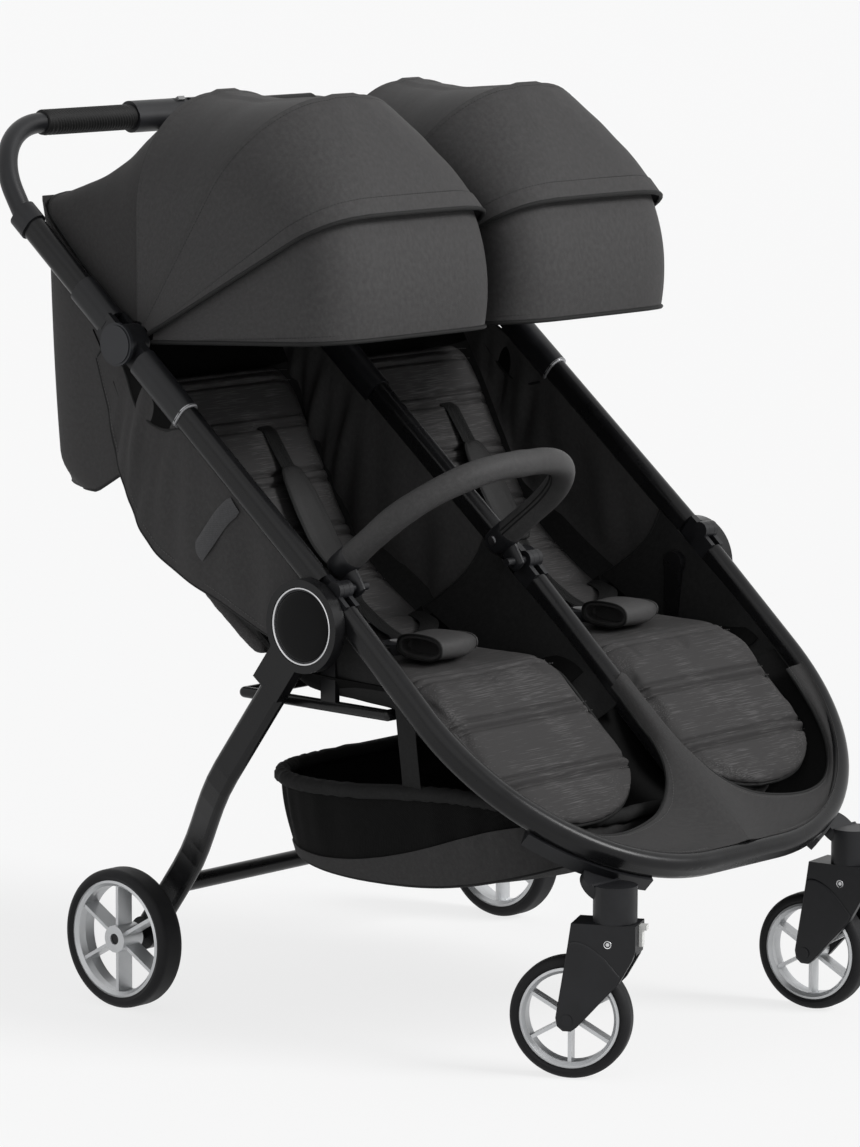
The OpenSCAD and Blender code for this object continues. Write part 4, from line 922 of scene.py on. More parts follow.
round_rim = np.linspace(0, 2 * math.pi, 241)
rim_line, base_line, side_rows = [], [], []
for t in round_rim:
    c, s = math.cos(t), math.sin(t)
    v = 0.5 - 0.5 * math.copysign(abs(s) ** 0.55, s)
    x = basket_half(v) * math.copysign(abs(c) ** 0.32, c)
    rim_line.append((x, basket_y(v), basket_rim(v)))
    base_line.append((x * 0.94, basket_y(0.5 + (v - 0.5) * 0.95),
                      basket_low + 30 * abs(2 * v - 0.9) ** 2.4 + 10))
rim_line, base_line = np.array(rim_line), np.array(base_line)
for k in np.linspace(0, 1, 22):
    line = base_line + (rim_line - base_line) * k
    slack = math.sin(math.pi * k)
    folds = 3.4 * np.sin(30 * round_rim) * np.sin(3 * round_rim + 1.2) * (0.25 + 0.75 * k)
    side_rows.append(line - basket_out(line) * (
        3.5 - slack * 5 * 0.6 - folds * (0.3 + 0.7 * slack))[:, None])
side_rows = np.array(side_rows)
floor_rows = []
for k in np.linspace(0.02, 1, 16):
    line = basket_mid + (side_rows[0] - basket_mid) * k
    line[:, 2] = basket_low + (side_rows[0][:, 2] - basket_low) * k ** 3
    floor_rows.append(line)
net = sheet_piece("basket_net_sides", side_rows, net_black, 1.4, "chassis", "cloth_black", "hung",
                  ["seat_frame"], "basket")
sheet_piece("basket_base", floor_rows, base_cloth, 1.8, "chassis", "cloth_black", "hung",
            [net.name])
ahead_share = (basket_back - side_rows[0][:, 1]) / (basket_back - basket_front)
band_rows, pick = [], np.arange(len(round_rim))
for k in np.linspace(0.01, 1, 9):
    at = (0.10 + 0.78 * ahead_share ** 2.2) * k * 21
    low = np.minimum(at.astype(int), 20)
    line = side_rows[low, pick] + (side_rows[low + 1, pick] - side_rows[low, pick]) * (
        at - low)[:, None]
    band_rows.append(line + 1.8 * basket_out(line))
sheet_piece("basket_band", band_rows, panel_cloth, 1.2, "chassis", "cloth_black", "stretched",
            [net.name])
gather = side_rows[-1] + np.array([0, 0, -6])
gather[:, 2] += 0.9 * np.sin(90 * round_rim)
place(piece("basket_trim", tube(gather, 9.5, base_cloth),
            tube(side_rows[0] + np.array([0, 0, -1.0]), 2.2, piping_black, n=8)),
      "chassis", "cloth_black")
tabs, tab_v = [], 0.62
tab_half, tab_y, tab_z = basket_half(tab_v), basket_y(tab_v), basket_rim(tab_v)
top_y, top_z = lower(150, -17)
for sx in (-1, 1):
    line = smooth_line([(sx * tab_half, tab_y, tab_z - 14), (sx * tab_half, tab_y, tab_z + 4),
                        (sx * (tab_half + 334) / 2, (tab_y + top_y) / 2, (tab_z + top_z) / 2),
                        (sx * 334, top_y, top_z)], 16)
    tabs.append(tube(line, 16, base_cloth, side=(1, 0, 0), flat=0.08))
place(piece("basket_tabs", *tabs), "chassis", "cloth_black")


# ---------------------------------------------------------------------------------------------
# Upper frame: three straight oval tubes from the folds, the outer two with slip-on joint sleeves
# below the handle joint. Black coated tube; moulded sleeves with a painted highlight, a bright
# metallic colour, round the lower chamfer.
upper_slope = math.radians(39)
frame_half = 347


def upper(d, h):
    """A point (y, z) on the upper frame: d up the slope from the fold, h off it to the front."""
    return (fold_y + d * math.cos(upper_slope) - h * math.sin(upper_slope),
            fold_z + d * math.sin(upper_slope) + h * math.cos(upper_slope))


def oval_ring(x0, d, wide, deep):
    """A ring of points square to the upper frame at d, wide across and deep off the slope."""
    a = whole_turn(40)
    r = wide / 2
    h = r * np.sin(a) + (deep - wide) / 2 * np.sign(np.sin(a)) * np.minimum(
        1, 4 * np.abs(np.sin(a)))
    return np.column_stack([x0 + r * np.cos(a), np.array([upper(d, v) for v in h])])


# painted highlight: the sleeve chamfer gets a bright metallic colour in place of the light along
# its edge
edge_painted_highlight = coated("edge_painted_highlight", (0.30, 0.30, 0.31), (0.45, 0.45, 0.46), grain=900, gloss=0.3,
                     metal=0.6)
dress(tube_black, "upper_tubes")
dress(moulded_black, "joint_sleeves")
chamfer = ((317.6, 27.2, 37.2), (318.6, 29.4, 39.4), (320.2, 30.4, 40.4), (321.0, 30.3, 40.3))
place(piece("sleeve_edges", *[loft([oval_ring(x0, *step) for step in chamfer], edge_painted_highlight)
                              for x0 in (-frame_half, frame_half)]),
      "upper_frame", "moulded_grey")


# ---------------------------------------------------------------------------------------------
# Side wings: one cloth wall outside and one inside each seat, hung from the upper tubes by a
# sewn channel and bound with piping. Unlined polyester, so it falls in soft folds to its hem.
wing_cloth = woven("wing_cloth", (0.040, 0.039, 0.039), (0.074, 0.072, 0.072), count=1000,
                   gloss=0.7, shine=0.14)
wing_count = 96
wing_head = smooth_line([(46, -9), (120, -9), (200, -9), (280, -9), (320, -9), (350, -10),
                         (380, -12), (405, -14), (430, -16), (458, -18), (486, -20)], wing_count)
wing_hem = smooth_line([(22, -104), (70, -124), (130, -142), (195, -162), (255, -176),
                        (292, -171), (326, -158), (358, -143), (396, -122), (440, -94),
                        (488, -64)], wing_count)
wing_drop = np.interp(wing_hem[:, 0], [22, 60, 230, 300], [14.0, 26.0, 22.0, 0.0])


def wing_tuck(d):
    """How far the outer wall goes in behind the joint sleeve at d."""
    return 6.6 * min(1, max(0, (d - 395) / 35))


for side, sx in both_sides:
    for where, x0 in (("outer", 337.4), ("inner", 9.5)):
        name = where + "_" + side
        rows = []
        for v in np.linspace(0, 1, 36):
            line = []
            for i, (d, h) in enumerate(wing_head + (wing_hem - wing_head) * v):
                u = i / (wing_count - 1)
                h -= (where == "inner") * wing_drop[i] * v
                d -= 12 * math.sin(math.pi * v) * (1 - u) ** 6
                soft = math.sin(math.pi * min(1, v * 0.88)) * min(1, 6 * (1 - u)) * min(1, 9 * u)
                fold = (math.sin(19 * u + 2.2 * v + 0.4) ** 3
                        + 0.8 * math.sin(31 * u - 2.4 * v + 1)
                        + 0.35 * math.sin(57 * u + 4 * v))
                if where == "outer":
                    tuck = wing_tuck(d)
                    x = x0 - tuck + soft * (3.3 * fold + 2.4) * (1 - 0.8 * min(1, tuck / 7))
                else:
                    x = x0 + soft * (4.2 * fold + 8.5)
                line.append((sx * x, *upper(d, h)))
            rows.append(line)
        rows = np.array(rows)
        sheet_piece("wing_" + name, rows, wing_cloth, 1.8, "upper_frame", "cloth_black", "hung",
                    ["upper_tubes"], "side_wings_" + side)
        rim = np.vstack([rows[0], rows[1:, -1], rows[-1][::-1][1:], rows[1:-1, 0][::-1],
                         rows[0][:1]])
        piping("wing_edging_" + name, rim, 1.7, (1, 0, 0), "upper_frame")
        out = np.array([sx * (1.3 if where == "outer" else -1.3), 0, 0])
        stitches("wing_hem_" + name, [0.94 * rows[-1] + 0.06 * rows[0] + out, rows[2][44:] + out],
                 "upper_frame")

# Recess shade: a near-black cloth patch with a piped lower edge under each joint on the outer
# wall, put there as painted shade for the recess below the sleeve
patch_head = smooth_line([(322, -23), (350, -22.6), (390, -22.6), (430, -22.8), (466, -23.4)], 40)
patch_foot = smooth_line([(322, -25), (338, -43), (362, -55), (392, -57), (424, -48), (452, -35),
                          (467, -25)], 40)
for side, sx in both_sides:
    rows = np.array([[(sx * (339.0 - wing_tuck(d)), *upper(d, h))
                      for d, h in patch_head + (patch_foot - patch_head) * v]
                     for v in np.linspace(0, 1, 14)])
    sheet_piece("wing_patch_" + side, rows, lining_black, 1.0, "upper_frame", "cloth_black",
                "stretched", ["wing_outer_" + side])
    piping("wing_patch_piping_" + side, rows[-1], 2.0, (1, 0, 0), "upper_frame")

# Gussets: plain black cloth that closes each side wall from the fold down to the seat's edge
gusset_head = smooth_line([upper(64, -10), upper(28, -8), lower(0, -9), lower(60, -6),
                           lower(120, -4), lower(175, -4), lower(222, -4)], 48)
gusset_foot = smooth_line([(20, 492), (-20, 469), (-62, 447), (-104, 433), (-150, 428),
                           (-200, 424), (-236, 408), (-266, 382)], 48)
for side, sx in both_sides:
    for where, x0, x1 in (("outer", 334.6, 321.0), ("inner", 12.4, 27.5)):
        rows = []
        for v in np.linspace(0, 1, 22):
            line = []
            for i, (y, z) in enumerate(gusset_head + (gusset_foot - gusset_head) * v):
                y -= 16 * math.sin(math.pi * v) * max(0.0, 1 - i / 24)
                fold = 1.4 * math.sin(math.pi * v) * math.sin(0.5 * i + 3 * v)
                line.append((sx * (x0 + (x1 - x0) * v ** 1.6 + fold), y, z))
            rows.append(line)
        rows = np.array(rows)
        sheet_piece("gusset_" + where + "_" + side, rows, base_cloth, 1.6, "chassis",
                    "cloth_black", "stretched", ["seat_frame", "seat_pad_cushion_" + side])
        piping("gusset_piping_" + where + "_" + side, rows[:, 0], 1.8, (1, 0, 0), "chassis")

# Pull tabs: a loop of grey webbing sewn to the outer wall on each side
tab_grey = woven("tab_grey", (0.030, 0.030, 0.032), (0.060, 0.060, 0.063), count=300, gloss=0.42,
                 shine=0.3, depth=0.0004)
tab_widths = np.interp(np.linspace(0, 1, 30), [0, 0.06, 0.9, 1], [11, 13, 12, 10])
for side, sx in both_sides:
    line = smooth_line([(sx * 340.5, 50, 650), (sx * 343.5, 70, 632), (sx * 345.5, 90, 607),
                        (sx * 344, 109, 586), (sx * 341, 114, 580)], 30)
    place(piece("pull_tab_" + side, tube(line, tab_widths, tab_grey, n=12, side=(1, 0, 0),
                                         flat=0.10)), "upper_frame", "cloth_charcoal")


# ---------------------------------------------------------------------------------------------
# Backrests: quilted panels in the seat's heather cloth over a foam board, sewn across in double
# rows that leave soft rolls between them, with slots for the harness. They recline at the foot.
# The face runs from the seat's rear edge up a shallow slope and then straight up the back.
back_line = smooth_line([(10, 486), (50, 510), (91, 537), (123, 563), (145, 590), (161, 616.5),
                         (197, 682.5), (224, 734), (254, 790)], 120)
back_steps = steps_along(back_line)
back_long = back_steps[-1]
back_run = unit(np.gradient(back_line, axis=0))
back_out = np.stack([-back_run[:, 1], back_run[:, 0]], axis=1)
back_rolls = [back_long - 406 + at for at in (95.0, 170.0, 246.0, 323.0, 386.0)]
strap_x, strap_slot = 58, back_long - 88


def on_face(sx, x, s, n):
    """The cushion's face: x across, s along it from the seat and n off it to the front."""
    return off_line(sx * back_x + x, value_at(s, back_steps, back_line),
                    value_at(s, back_steps, back_out), n)


def recline_of(side, sx):
    """The upper frame at the seat's edge, the reclining back above it, and two points at the foot.
    """
    return ("upper_frame", "back_" + side, (sx * 0.1735, 0.02, 0.487), (sx * 0.1735, 0.15, 0.582))


for side, sx in both_sides:
    recline = recline_of(side, sx)
    rings, a = [], whole_turn(44)
    for s in np.concatenate([[0.3, 2, 6, 12], np.linspace(20, back_long - 18, 64),
                             back_long - np.array([11, 5, 1.5, 0.3])]):
        end = math.sqrt(min(1, max(0.02, s / 14))) * math.sqrt(
            min(1, max(0.02, (back_long - s) / 14)))
        top = max(0.0, (s - back_long + 64) / 64)
        half = 151.5 * math.sqrt(max(0.03, 1 - 0.25 * top ** 3))
        rings.append(on_face(sx, half * pressed(np.cos(a), 0.36), s,
                             -18 + 14.5 * end * pressed(np.sin(a), 0.5)))
    rest = stuffed(piece("backrest_cushion_" + side, loft(rings, heather_grey)), heather_grey,
                   cap=0.005)
    co = points_of(rest.data) * 1000
    s_at, lift, outs = unrolled(co, back_line, back_steps, back_run, back_out)
    drop = sum(quilted(s_at, mark, 6.4, 2.6) for mark in back_rolls)
    for hx in (-strap_x, strap_x):
        slot = np.exp(-((s_at - strap_slot) / 3.2) ** 2) * (
            np.abs(co[:, 0] - sx * back_x - hx) < 21)
        drop = np.maximum(drop, 6.0 * slot)
    drop += ripples(20 + sx, 8, 0.1, 0.18, co[:, 0], s_at)
    drop = drop * np.clip((lift + 14) / 8, 0, 1) + np.maximum(0, lift - 0.5)
    co[:, 1:] -= outs * drop[:, None]
    move_points(rest, co / 1000)
    place(rest, recline, "cloth_charcoal", "backrest_" + side)
    u = np.linspace(-1, 1, 30)
    stitches("backrest_sewing_" + side, [on_face(sx, 142 * u, s, -7.0 - 4 * u ** 6)
                                         for mark in back_rolls
                                         for s in (mark - row_apart, mark + row_apart)], recline)
    rows, u = [], np.linspace(-1, 1, 41)
    for k in list(range(0, 118, 3)) + [119]:
        n = -31 + (16 + 30 * min(1, max(0, (72 - k) / 34))) * np.abs(u) ** 9
        rows.append(off_line(sx * back_x + 159.0 * u, back_line[k], back_out[k], n))
    sheet_piece("backrest_lining_" + side, rows, base_cloth, 1.6, recline, "cloth_black",
                "stretched", [rest.name])

# Head curtains: a loose black cloth between the side walls of each seat, over the backrest's top
for side, sx in both_sides:
    rows, u = [], np.linspace(-1, 1, 41)
    for v in np.linspace(0, 1, 14):
        n = -36 + 20 * np.abs(u) ** 9 + 2.5 * v * np.sin(11 * u + 3 * v)
        at = back_line[-1] + back_run[-1] * (-10 + 82 * v)
        rows.append(off_line(sx * back_x + 157.5 * u, at, back_out[-1], n))
    sheet_piece("head_curtain_" + side, rows, lining_black, 1.6, "upper_frame", "cloth_black",
                "hung", ["side_wings_" + side])


# ---------------------------------------------------------------------------------------------
# Harness: two lengths of 25 mm webbing from slots in each backrest, each through a soft shoulder
# pad with a piped edge and an adjuster, down to the buckle. Smooth padded cloth on the pads.
shoulder_cloth = woven("shoulder_cloth", 0.017, (0.036, 0.035, 0.035), count=1000, gloss=0.55,
                       shine=0.16, bump=0.2)
back_lean = math.radians(62)
strap_face = np.array([0, -math.sin(back_lean), math.cos(back_lean)])
strap_top, strap_foot = back_long - 86, 40
shoulder_x, shoulder_half, shoulder_s, shoulder_reach = 60, 25.5, 172, 78
for side, sx in both_sides:
    recline = recline_of(side, sx)
    straps, tails = [], []
    for hx in (-1, 1):
        u = np.linspace(0, 1, 44)
        s = strap_top - (strap_top - strap_foot) * u
        wander = strap_x + 5 * np.sin(3 * u) - 14 * np.clip((u - 0.7) / 0.3, 0, 1) ** 2
        lift = (1.8 + 1.2 * np.sin(11 * u) + 12 * np.sin(math.pi * u) ** 2
                + np.where(u < 0.04, -9 * (1 - u / 0.04), 0))
        line = on_face(sx, hx * wander, s, lift)
        straps.append(tube(line, web_half, webbing, side=strap_face, flat=0.1))
        ladder = on_face(sx, hx * np.array([55.0, 54.5, 54, 53]), np.array([84.0, 76, 67, 58]),
                         np.full(4, 4.5))
        straps.append(tube(smooth_line(ladder, 9), [12, 15, 16, 16, 16, 16, 16, 15, 12],
                           moulded_black, n=12, side=strap_face, flat=0.28))
        tail = smooth_line([line[-3], line[-1]] + [
            (sx * back_x + hx * x, y, z)
            for x, y, z in ((38, 14, 493), (32, -18, 480), (25, -48, 474), (21, -62, 472))], 26)
        tails.append(tube(tail, web_half, webbing, side=(0, -0.4, 0.9), flat=0.1))
    place(piece("harness_straps_" + side, *straps), recline, "cloth_black", "harness_" + side)
    place(piece("harness_tails_" + side, *tails), "chassis", "cloth_black")
    for hx, hand in ((-1, "a"), (1, "b")):
        rings, edge, a = [], [], whole_turn(28)
        for t in np.linspace(-math.pi / 2, math.pi / 2, 31):
            s = shoulder_s + shoulder_reach * math.sin(t)
            half = shoulder_half * max(0.03, math.cos(t)) ** 0.42 * (1 - 0.06 * math.sin(t))
            x = half * pressed(np.cos(a), 0.7)
            hang = 5.4 + 12 * math.sin(
                math.pi * (strap_top - s) / (strap_top - strap_foot)) ** 2
            n = hang + 4.8 * max(0.05, math.cos(t)) ** 0.3 * pressed(np.sin(a), 0.8)
            n -= 0.8 * np.exp(-(np.abs(x) - half * 0.72) ** 2 / 3) * (np.sin(a) > 0)
            rings.append(on_face(sx, hx * shoulder_x + x, s, n))
            edge.append(on_face(sx, hx * shoulder_x + half, s, hang))
            edge.insert(0, on_face(sx, hx * shoulder_x - half, s, hang))
        name = side + "_" + hand
        shoulder = rounded(piece("shoulder_pad_" + name, loft(rings, shoulder_cloth)))
        place(shoulder, recline, "cloth_charcoal")
        piping("shoulder_piping_" + name, np.array(edge + edge[:1]), 1.7, strap_face, recline)


# ---------------------------------------------------------------------------------------------
# Handle: fittings and smooth round covers at the joints, two straight tubes and a bent bar in
# moulded black, ribbed rubber grips, and a housing with the fold trigger and its slide lock.
cover_grey = coated("cover_grey", (0.020, 0.021, 0.024), (0.027, 0.028, 0.032), grain=1500,
                    gloss=0.4, bump=0.05, shine=0.3)
grip_rubber = coated("grip_rubber", 0.009, 0.018, grain=1300, gloss=0.6, bump=0.3, depth=0.0003,
                     shine=0.2)
dress(moulded_black, "handle_fittings", "handlebar", "handle_housing", "fold_trigger")
dress(cover_grey, "pivot_discs")
dress(tube_black, "handle_tubes")
dress(clip_grey, "slide_lock")
bar_y, bar_z = 478.31, 1089.80
grip_in, grip_out, grip_radius, rib_pitch = 92.0, 250.0, 15.9, 4.8
for side, sx in both_sides:
    rings, a = [], whole_turn(40)
    for x in np.concatenate([[grip_in, 92.6], np.arange(94, 248, 0.8), [249.4, grip_out]]):
        end = 1 - 0.12 * (x in (grip_in, grip_out))
        ribbed = 96 < x < 246
        r = grip_radius * end + 0.75 * (0.5 + 0.5 * math.sin(2 * math.pi * x / rib_pitch)) * ribbed
        slant = 7.5 * np.sin(a + 0.6) * max(0.0, min(1, (x - grip_in) / 12, (grip_out - x) / 12))
        rings.append(np.stack([sx * (x + slant), bar_y + r * np.cos(a), bar_z + r * np.sin(a)],
                              axis=1))
    place(piece("grip_ribbed_" + side, loft(rings, grip_rubber), sharp=80), "handle", "grip",
          "grips")


# ---------------------------------------------------------------------------------------------
# Canopies: one hood on each seat over three hoops, in sewn panels of coated polyester. The rear
# panel is fixed to the handle, the middle one spans two bows, the front one carries the visor.
canopy_cloth = woven("canopy_cloth", (0.048, 0.047, 0.047), (0.088, 0.0855, 0.0855), count=1100,
                     gloss=0.66, shine=0.12, bump=0.25)
# painted shade: the rear panel's cloth is the canopy cloth painted darker, a shaded copy of the
# same cloth
rear_painted_shade_cloth = woven("canopy_rear_cloth", (0.034, 0.033, 0.033), (0.064, 0.062, 0.062), count=1100,
                   gloss=0.66, shine=0.12, bump=0.25)
hood_thread = coated("hood_thread", 0.030, 0.05, grain=2500, gloss=0.6, bump=0.2, shine=0.15)
joint_y, joint_z, hood_x = 228.14, 834.43, 172
# angle above the front, radius and corner radius of each hoop, and the cloth's sag between them
hood_hoops = ((136, 250, 46), (90, 303, 140), (57, 362, 132), (28, 362, 62))
hood_sags = (40.0, 25.0, 4.0)
(rear_at, *_), (mid_at, *mid_hoop), (nose_at, *nose_hoop), (brow_at, *_) = hood_hoops


def hood_row(sx, angle, r, corner, inset=0.0, skew=0.0, n=72):
    """One cross line of a hood: up from the joint, over the crown by round corners, and down."""
    half, low = 158 - inset, 26.0
    r, c = r - inset, max(8.0, corner - inset)
    arc = math.pi / 2 * c
    legs, over = r - c - low, 2 * (half - c)
    total = 2 * (legs + arc) + over
    line = []
    for k in range(n):
        t = total * k / (n - 1)
        far = t > total / 2
        t = total - t if far else t
        if t < legs:
            x, up = -half, low + t
        elif t < legs + arc:
            b = (t - legs) / c
            x, up = -half + c - c * math.cos(b), r - c + c * math.sin(b)
        else:
            x, up = -half + c + (t - legs - arc), r
            up += 3 * math.sin(math.pi * min(1, max(0, (x + half) / (2 * half))))
        turn = math.radians(angle + skew * (1 - math.sin(math.pi * k / (n - 1))))
        line.append((sx * hood_x + (-x if far else x), joint_y - up * math.cos(turn),
                     joint_z + up * math.sin(turn)))
    return np.array(line)


def hood_key(angle):
    """Radius and corner radius of the hood at an angle, with the cloth's sag between hoops."""
    for first, last, sag in zip(hood_hoops, hood_hoops[1:], hood_sags):
        if angle >= last[0] or last[0] == brow_at:
            v = min(1.0, max(0.0, (first[0] - angle) / (first[0] - last[0])))
            r = first[1] + (last[1] - first[1]) * v - sag * math.sin(math.pi * v) ** 0.85
            return r, first[2] + (last[2] - first[2]) * v


def hood_panel(sx, first, last, count, seed, inset=0.6, skew=0.0):
    """Rows of one panel between two hoops, with shallow waves in the slack cloth."""
    phase = np.random.default_rng(seed).uniform(0, 6.28, 5)
    rows = []
    for v in np.linspace(0, 1, count):
        angle = first + (last - first) * v
        row = hood_row(sx, angle, *hood_key(angle), inset=inset, skew=skew * (1 - v))
        u = np.linspace(0, 1, len(row))
        waves = sum(np.sin((2 + k) * math.pi * v + phase[k] + (3 + 2 * k) * u) for k in range(5))
        away = row - np.array([0, joint_y, joint_z])
        away[:, 0] = (row[:, 0] - sx * hood_x) * 0.6
        calm = np.clip((np.hypot(row[:, 1] - joint_y, row[:, 2] - joint_z) - 60) / 160, 0, 1)
        rows.append(row - unit(away) * (
            calm * math.sin(math.pi * v) * np.maximum(-0.4, 0.5 + 0.45 * waves))[:, None])
    return np.array(rows)


def crown_at(sx, angle):
    """The middle of the crown at an angle, in metres."""
    r, _ = hood_key(angle)
    turn = math.radians(angle)
    return (sx * 0.172, (joint_y - r * math.cos(turn)) / 1000,
            (joint_z + r * math.sin(turn)) / 1000)


dress(moulded_black, "canopy_bow_left", "canopy_bow_right")
hood_slot = "cloth_canopy"
for side, sx in both_sides:
    mid, nose, bow = "canopy_mid_" + side, "canopy_nose_" + side, "canopy_bow_" + side
    rear = hood_panel(sx, rear_at, mid_at, 34, seed=2, inset=3.6, skew=2)
    middle = hood_panel(sx, mid_at, nose_at, 30, seed=5)
    front = hood_panel(sx, nose_at, brow_at, 26, seed=9, inset=-2.0)
    visor = np.array([hood_row(sx, 28.6 - 24.6 * v, 358 - 30 * v + 5 * math.sin(math.pi * v),
                               62 - 2 * v, inset=5.5 * (1 - v) + 1)
                      for v in np.linspace(0, 1, 20)])
    # the rear panel takes the darker painted-shade copy of the canopy cloth
    sheet_piece("hood_rear_" + side, rear, rear_painted_shade_cloth, 1.6,
                ("handle", mid, crown_at(sx, rear_at), crown_at(sx, mid_at)), hood_slot,
                "stretched", ["handle_tubes", bow], "canopy_rear_" + side)
    sheet_piece("hood_middle_" + side, middle, canopy_cloth, 1.6,
                (mid, nose, crown_at(sx, mid_at), crown_at(sx, nose_at)), hood_slot,
                "stretched", [bow], "canopy_middle_" + side)
    front_panel = sheet_piece("hood_front_" + side, front, canopy_cloth, 1.6, nose, hood_slot,
                              "stretched", ["canopy_front_" + side], "canopy_front_" + side)
    sheet_piece("hood_visor_" + side, visor, canopy_cloth, 1.6, nose, hood_slot, "stretched",
                [front_panel.name])

    # binding along the front edge, piping, seam welts and their stitches
    strip = [hood_row(sx, angle, *hood_key(max(brow_at, angle)), inset=-3.4)
             for angle in np.linspace(31.4, 27.9, 5)]
    brow = hood_row(sx, 27.7, *hood_key(brow_at), inset=-2.6)
    place(piece("hood_trim_" + side, cloth(strip, canopy_cloth, 1.4),
                tube(brow, 3.0, piping_black, side=(0, -1, 0.2)),
                tube(hood_row(sx, 3.7, 328, 60, inset=0.4), 2.8, piping_black,
                     side=(0, -1, 0.2)),
                tube(hood_row(sx, nose_at, *nose_hoop, inset=-1.6), 1.4, canopy_cloth, n=8,
                     side=(0, -0.5, 0.8))), nose, hood_slot)
    stitches("hood_sewing_front_" + side, [
        hood_row(sx, 31.6, *hood_key(31.6), inset=-2.9),
        hood_row(sx, 56.0, *hood_key(56.0), inset=-2.9),
        hood_row(sx, 5.3, 329, 60, inset=-0.4)], nose, hood_slot, hood_thread)
    place(piece("hood_welt_" + side, tube(hood_row(sx, mid_at, *mid_hoop, inset=1.2), 1.1,
                                          lining_black, n=8, side=(0, 1, 0))), mid, hood_slot)
    stitches("hood_sewing_middle_" + side, [hood_row(sx, 88.6, *hood_key(88.6))], mid, hood_slot,
             hood_thread)
    stitches("hood_sewing_rear_" + side,
             [rear[1] + (rear[1] - rear[0]) * 0.3 + np.array([0, 0.6, 0.9])], "handle",
             hood_slot, hood_thread)
    piping("hood_rear_hem_" + side, rear[0], 2.2, (0, 0.6, 0.8), "handle")


# ---------------------------------------------------------------------------------------------
# Rear flaps: a loose cloth panel that hangs from each hood's rear hem behind the seat, turned in
# at both sides and at the foot. The same black cloth as the wings.
flap_back, flap_low = 411, 632
for side, sx in both_sides:
    rows = []
    for v in np.linspace(0, 1, 44):
        line = []
        curl = max(0.0, (v - 0.86) / 0.14)
        reach = 84 * (1 - v) ** 1.2 + 122 * v ** 1.6 + 30 * math.sin(math.pi * v)
        for u in np.linspace(-1, 1, 61):
            turn = max(0.0, (abs(u) - 0.6) / 0.4)
            edge = min(1.0, max(0.0, (abs(u) - 0.38) / 0.2))
            x = 157 * math.sin(math.pi / 2 * min(1, abs(u) / 0.82)) * (1 if u > 0 else -1)
            head = 832 + 0.9 * (flap_back - 84 * turn ** 1.2 - joint_y) + 8 * (1 - turn) ** 2
            y = flap_back - 12 * min(1, 6 * v) - (30 * edge - 3 * (1 - edge)) * v ** 1.5
            y += 4 * v * math.sin(9.4 * u) + 2 * math.sin(4 * v + 3 * u)
            y -= turn ** 1.2 * reach + (30 * edge + 5) * curl ** 1.8 * (1 - turn)
            foot = flap_low + 30 * max(0.0, turn - 0.45) / 0.55
            z = head + (foot - head) * v + 10 * curl ** 2.2
            line.append((sx * hood_x + x, y, z))
        rows.append(line)
    rows = np.array(rows)
    sheet_piece("flap_panel_" + side, rows, wing_cloth, 1.8, "handle", "cloth_black", "hung",
                ["canopy_rear_" + side], "rear_flaps")
    rim = np.vstack([rows[:, 0], rows[-1][1:], rows[:-1, -1][::-1]])
    piping("flap_edging_" + side, rim, 2.0, (0.3, 0.9, 0.2), "handle")


# ---------------------------------------------------------------------------------------------
# Belly bar: one padded hoop on the left seat, foam over a bent tube in a charcoal sleeve with a
# double seam along its inner side, on moulded end sockets at the fold pins.
bar_cx, bar_half, bar_reach, bar_corner = -173.5, 143.5, 208.0, 120.0
pin_y, pin_z = -131.50, 565.07
bar_lean = math.radians(38)
bar_up = np.array([0, math.sin(bar_lean), math.cos(bar_lean)])


def on_bar(x, t):
    """The bar's own plane: it stands 34 mm above its pivots and starts 11 mm behind them."""
    along = t - 11
    return np.stack([bar_cx + x, pin_y - along * math.cos(bar_lean) + 34 * math.sin(bar_lean),
                     pin_z + along * math.sin(bar_lean) + 34 * math.cos(bar_lean)], axis=-1)


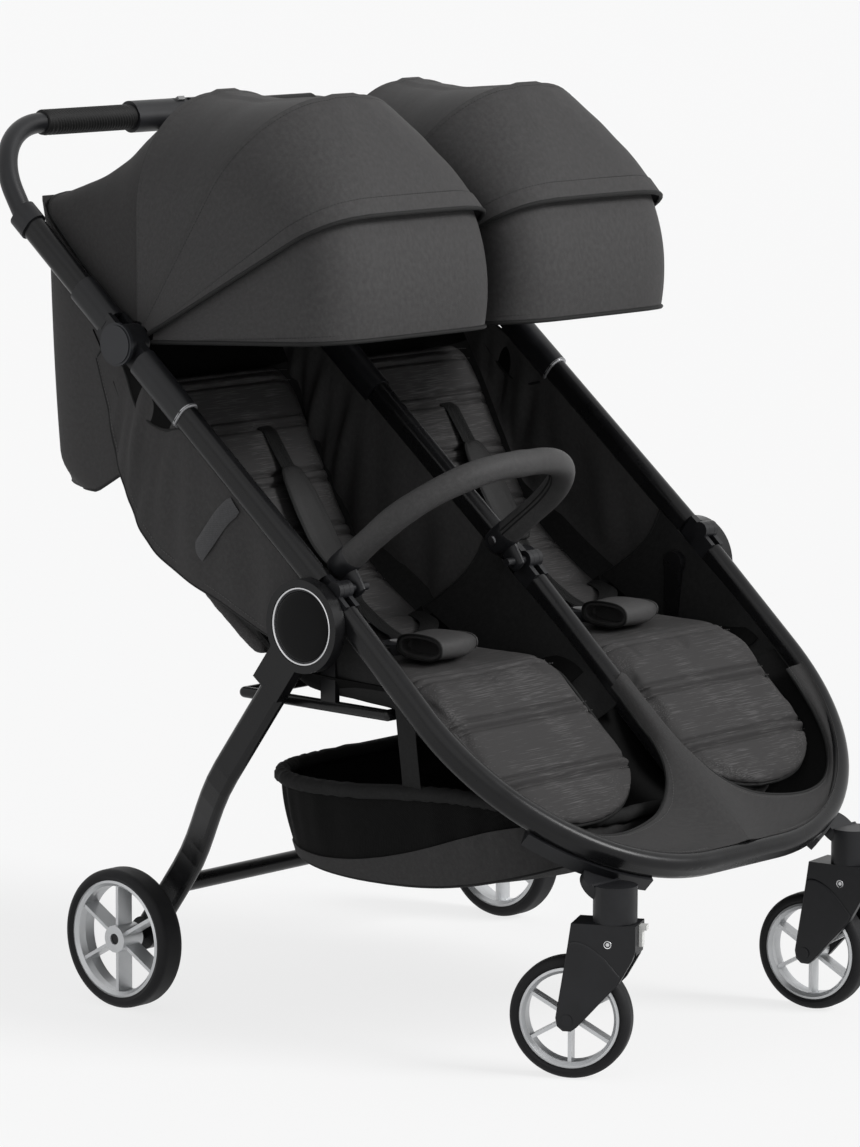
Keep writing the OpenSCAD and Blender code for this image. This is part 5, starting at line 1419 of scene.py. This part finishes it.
corner_a = np.linspace(0, math.pi / 2, 24)
bend_x, bend_t = bar_half - bar_corner, bar_reach - bar_corner
half_x = np.concatenate([np.full(12, bar_half), bend_x + bar_corner * np.cos(corner_a)])
half_t = np.concatenate([np.linspace(14, bend_t - 4, 12), bend_t + bar_corner * np.sin(corner_a)])
bar_x = np.concatenate([half_x, np.linspace(bend_x, -bend_x, 14)[1:-1], -half_x[::-1]])
bar_t = np.concatenate([half_t, np.full(12, bar_reach), half_t[::-1]])
bar_path = on_bar(bar_x, bar_t)
girth = 16.2 + 0.35 * np.sin(np.linspace(0, 40, len(bar_path)))
girth[:2], girth[-2:] = (14.5, 15.9), (15.9, 14.5)
bar_parts, buttons = [tube(bar_path, girth, smooth_pad, n=24, side=bar_up)], []
lug_radii = np.interp(np.linspace(0, 1, 16), [0, 0.6, 0.93, 1], [14, 12.5, 11, 5])
for hx in (-1, 1):
    socket = on_bar(np.full(9, hx * bar_half),
                    np.array([-7.0, -5.5, -3, 4, 12, 20, 26, 28, 28.5]))
    bar_parts.append(tube(socket, [8, 13.5, 16.5, 17.2, 17.4, 17.4, 17.3, 16.6, 14.5],
                          moulded_black, n=24, side=bar_up))
    foot = smooth_line([(hx * (bar_half + 2), t, h)
                        for t, h in ((14, -2), (11.5, -16), (11, -34), (11, -45))], 16)
    lug = on_bar(foot[:, 0], foot[:, 1]) + foot[:, 2:3] * bar_up
    bar_parts.append(tube(lug, lug_radii, moulded_black, n=24, side=(1, 0, 0), flat=0.46))
    at = on_bar(np.full(5, hx * (bar_half - 16)), np.full(5, 9.0))
    at[:, 0] -= hx * np.array([-4, -1, 1.2, 2.2, 2.4])
    buttons.append(tube(at, [6.4, 6.4, 6.2, 5.2, 3.0], bolt_steel, n=18))
place(piece("belly_bar_padded", *bar_parts), "bar", "cloth_charcoal", "belly_bar")
inward = unit(np.cross(unit(np.gradient(bar_path, axis=0)), bar_up))
bar_centre = on_bar(np.zeros(1), np.full(1, 80.0))[0]
inward *= np.sign(((bar_centre - bar_path) * inward).sum(1))[:, None]
welts = [tube((bar_path + girth[:, None] * (math.cos(b) * inward + math.sin(b) * bar_up))[2:-2],
              1.2, piping_black, n=6, side=bar_up) for b in (0.16, -0.16)]
place(piece("belly_bar_seam", *welts), "bar", "cloth_black")
place(piece("belly_bar_buttons", *buttons), "bar", "bright")
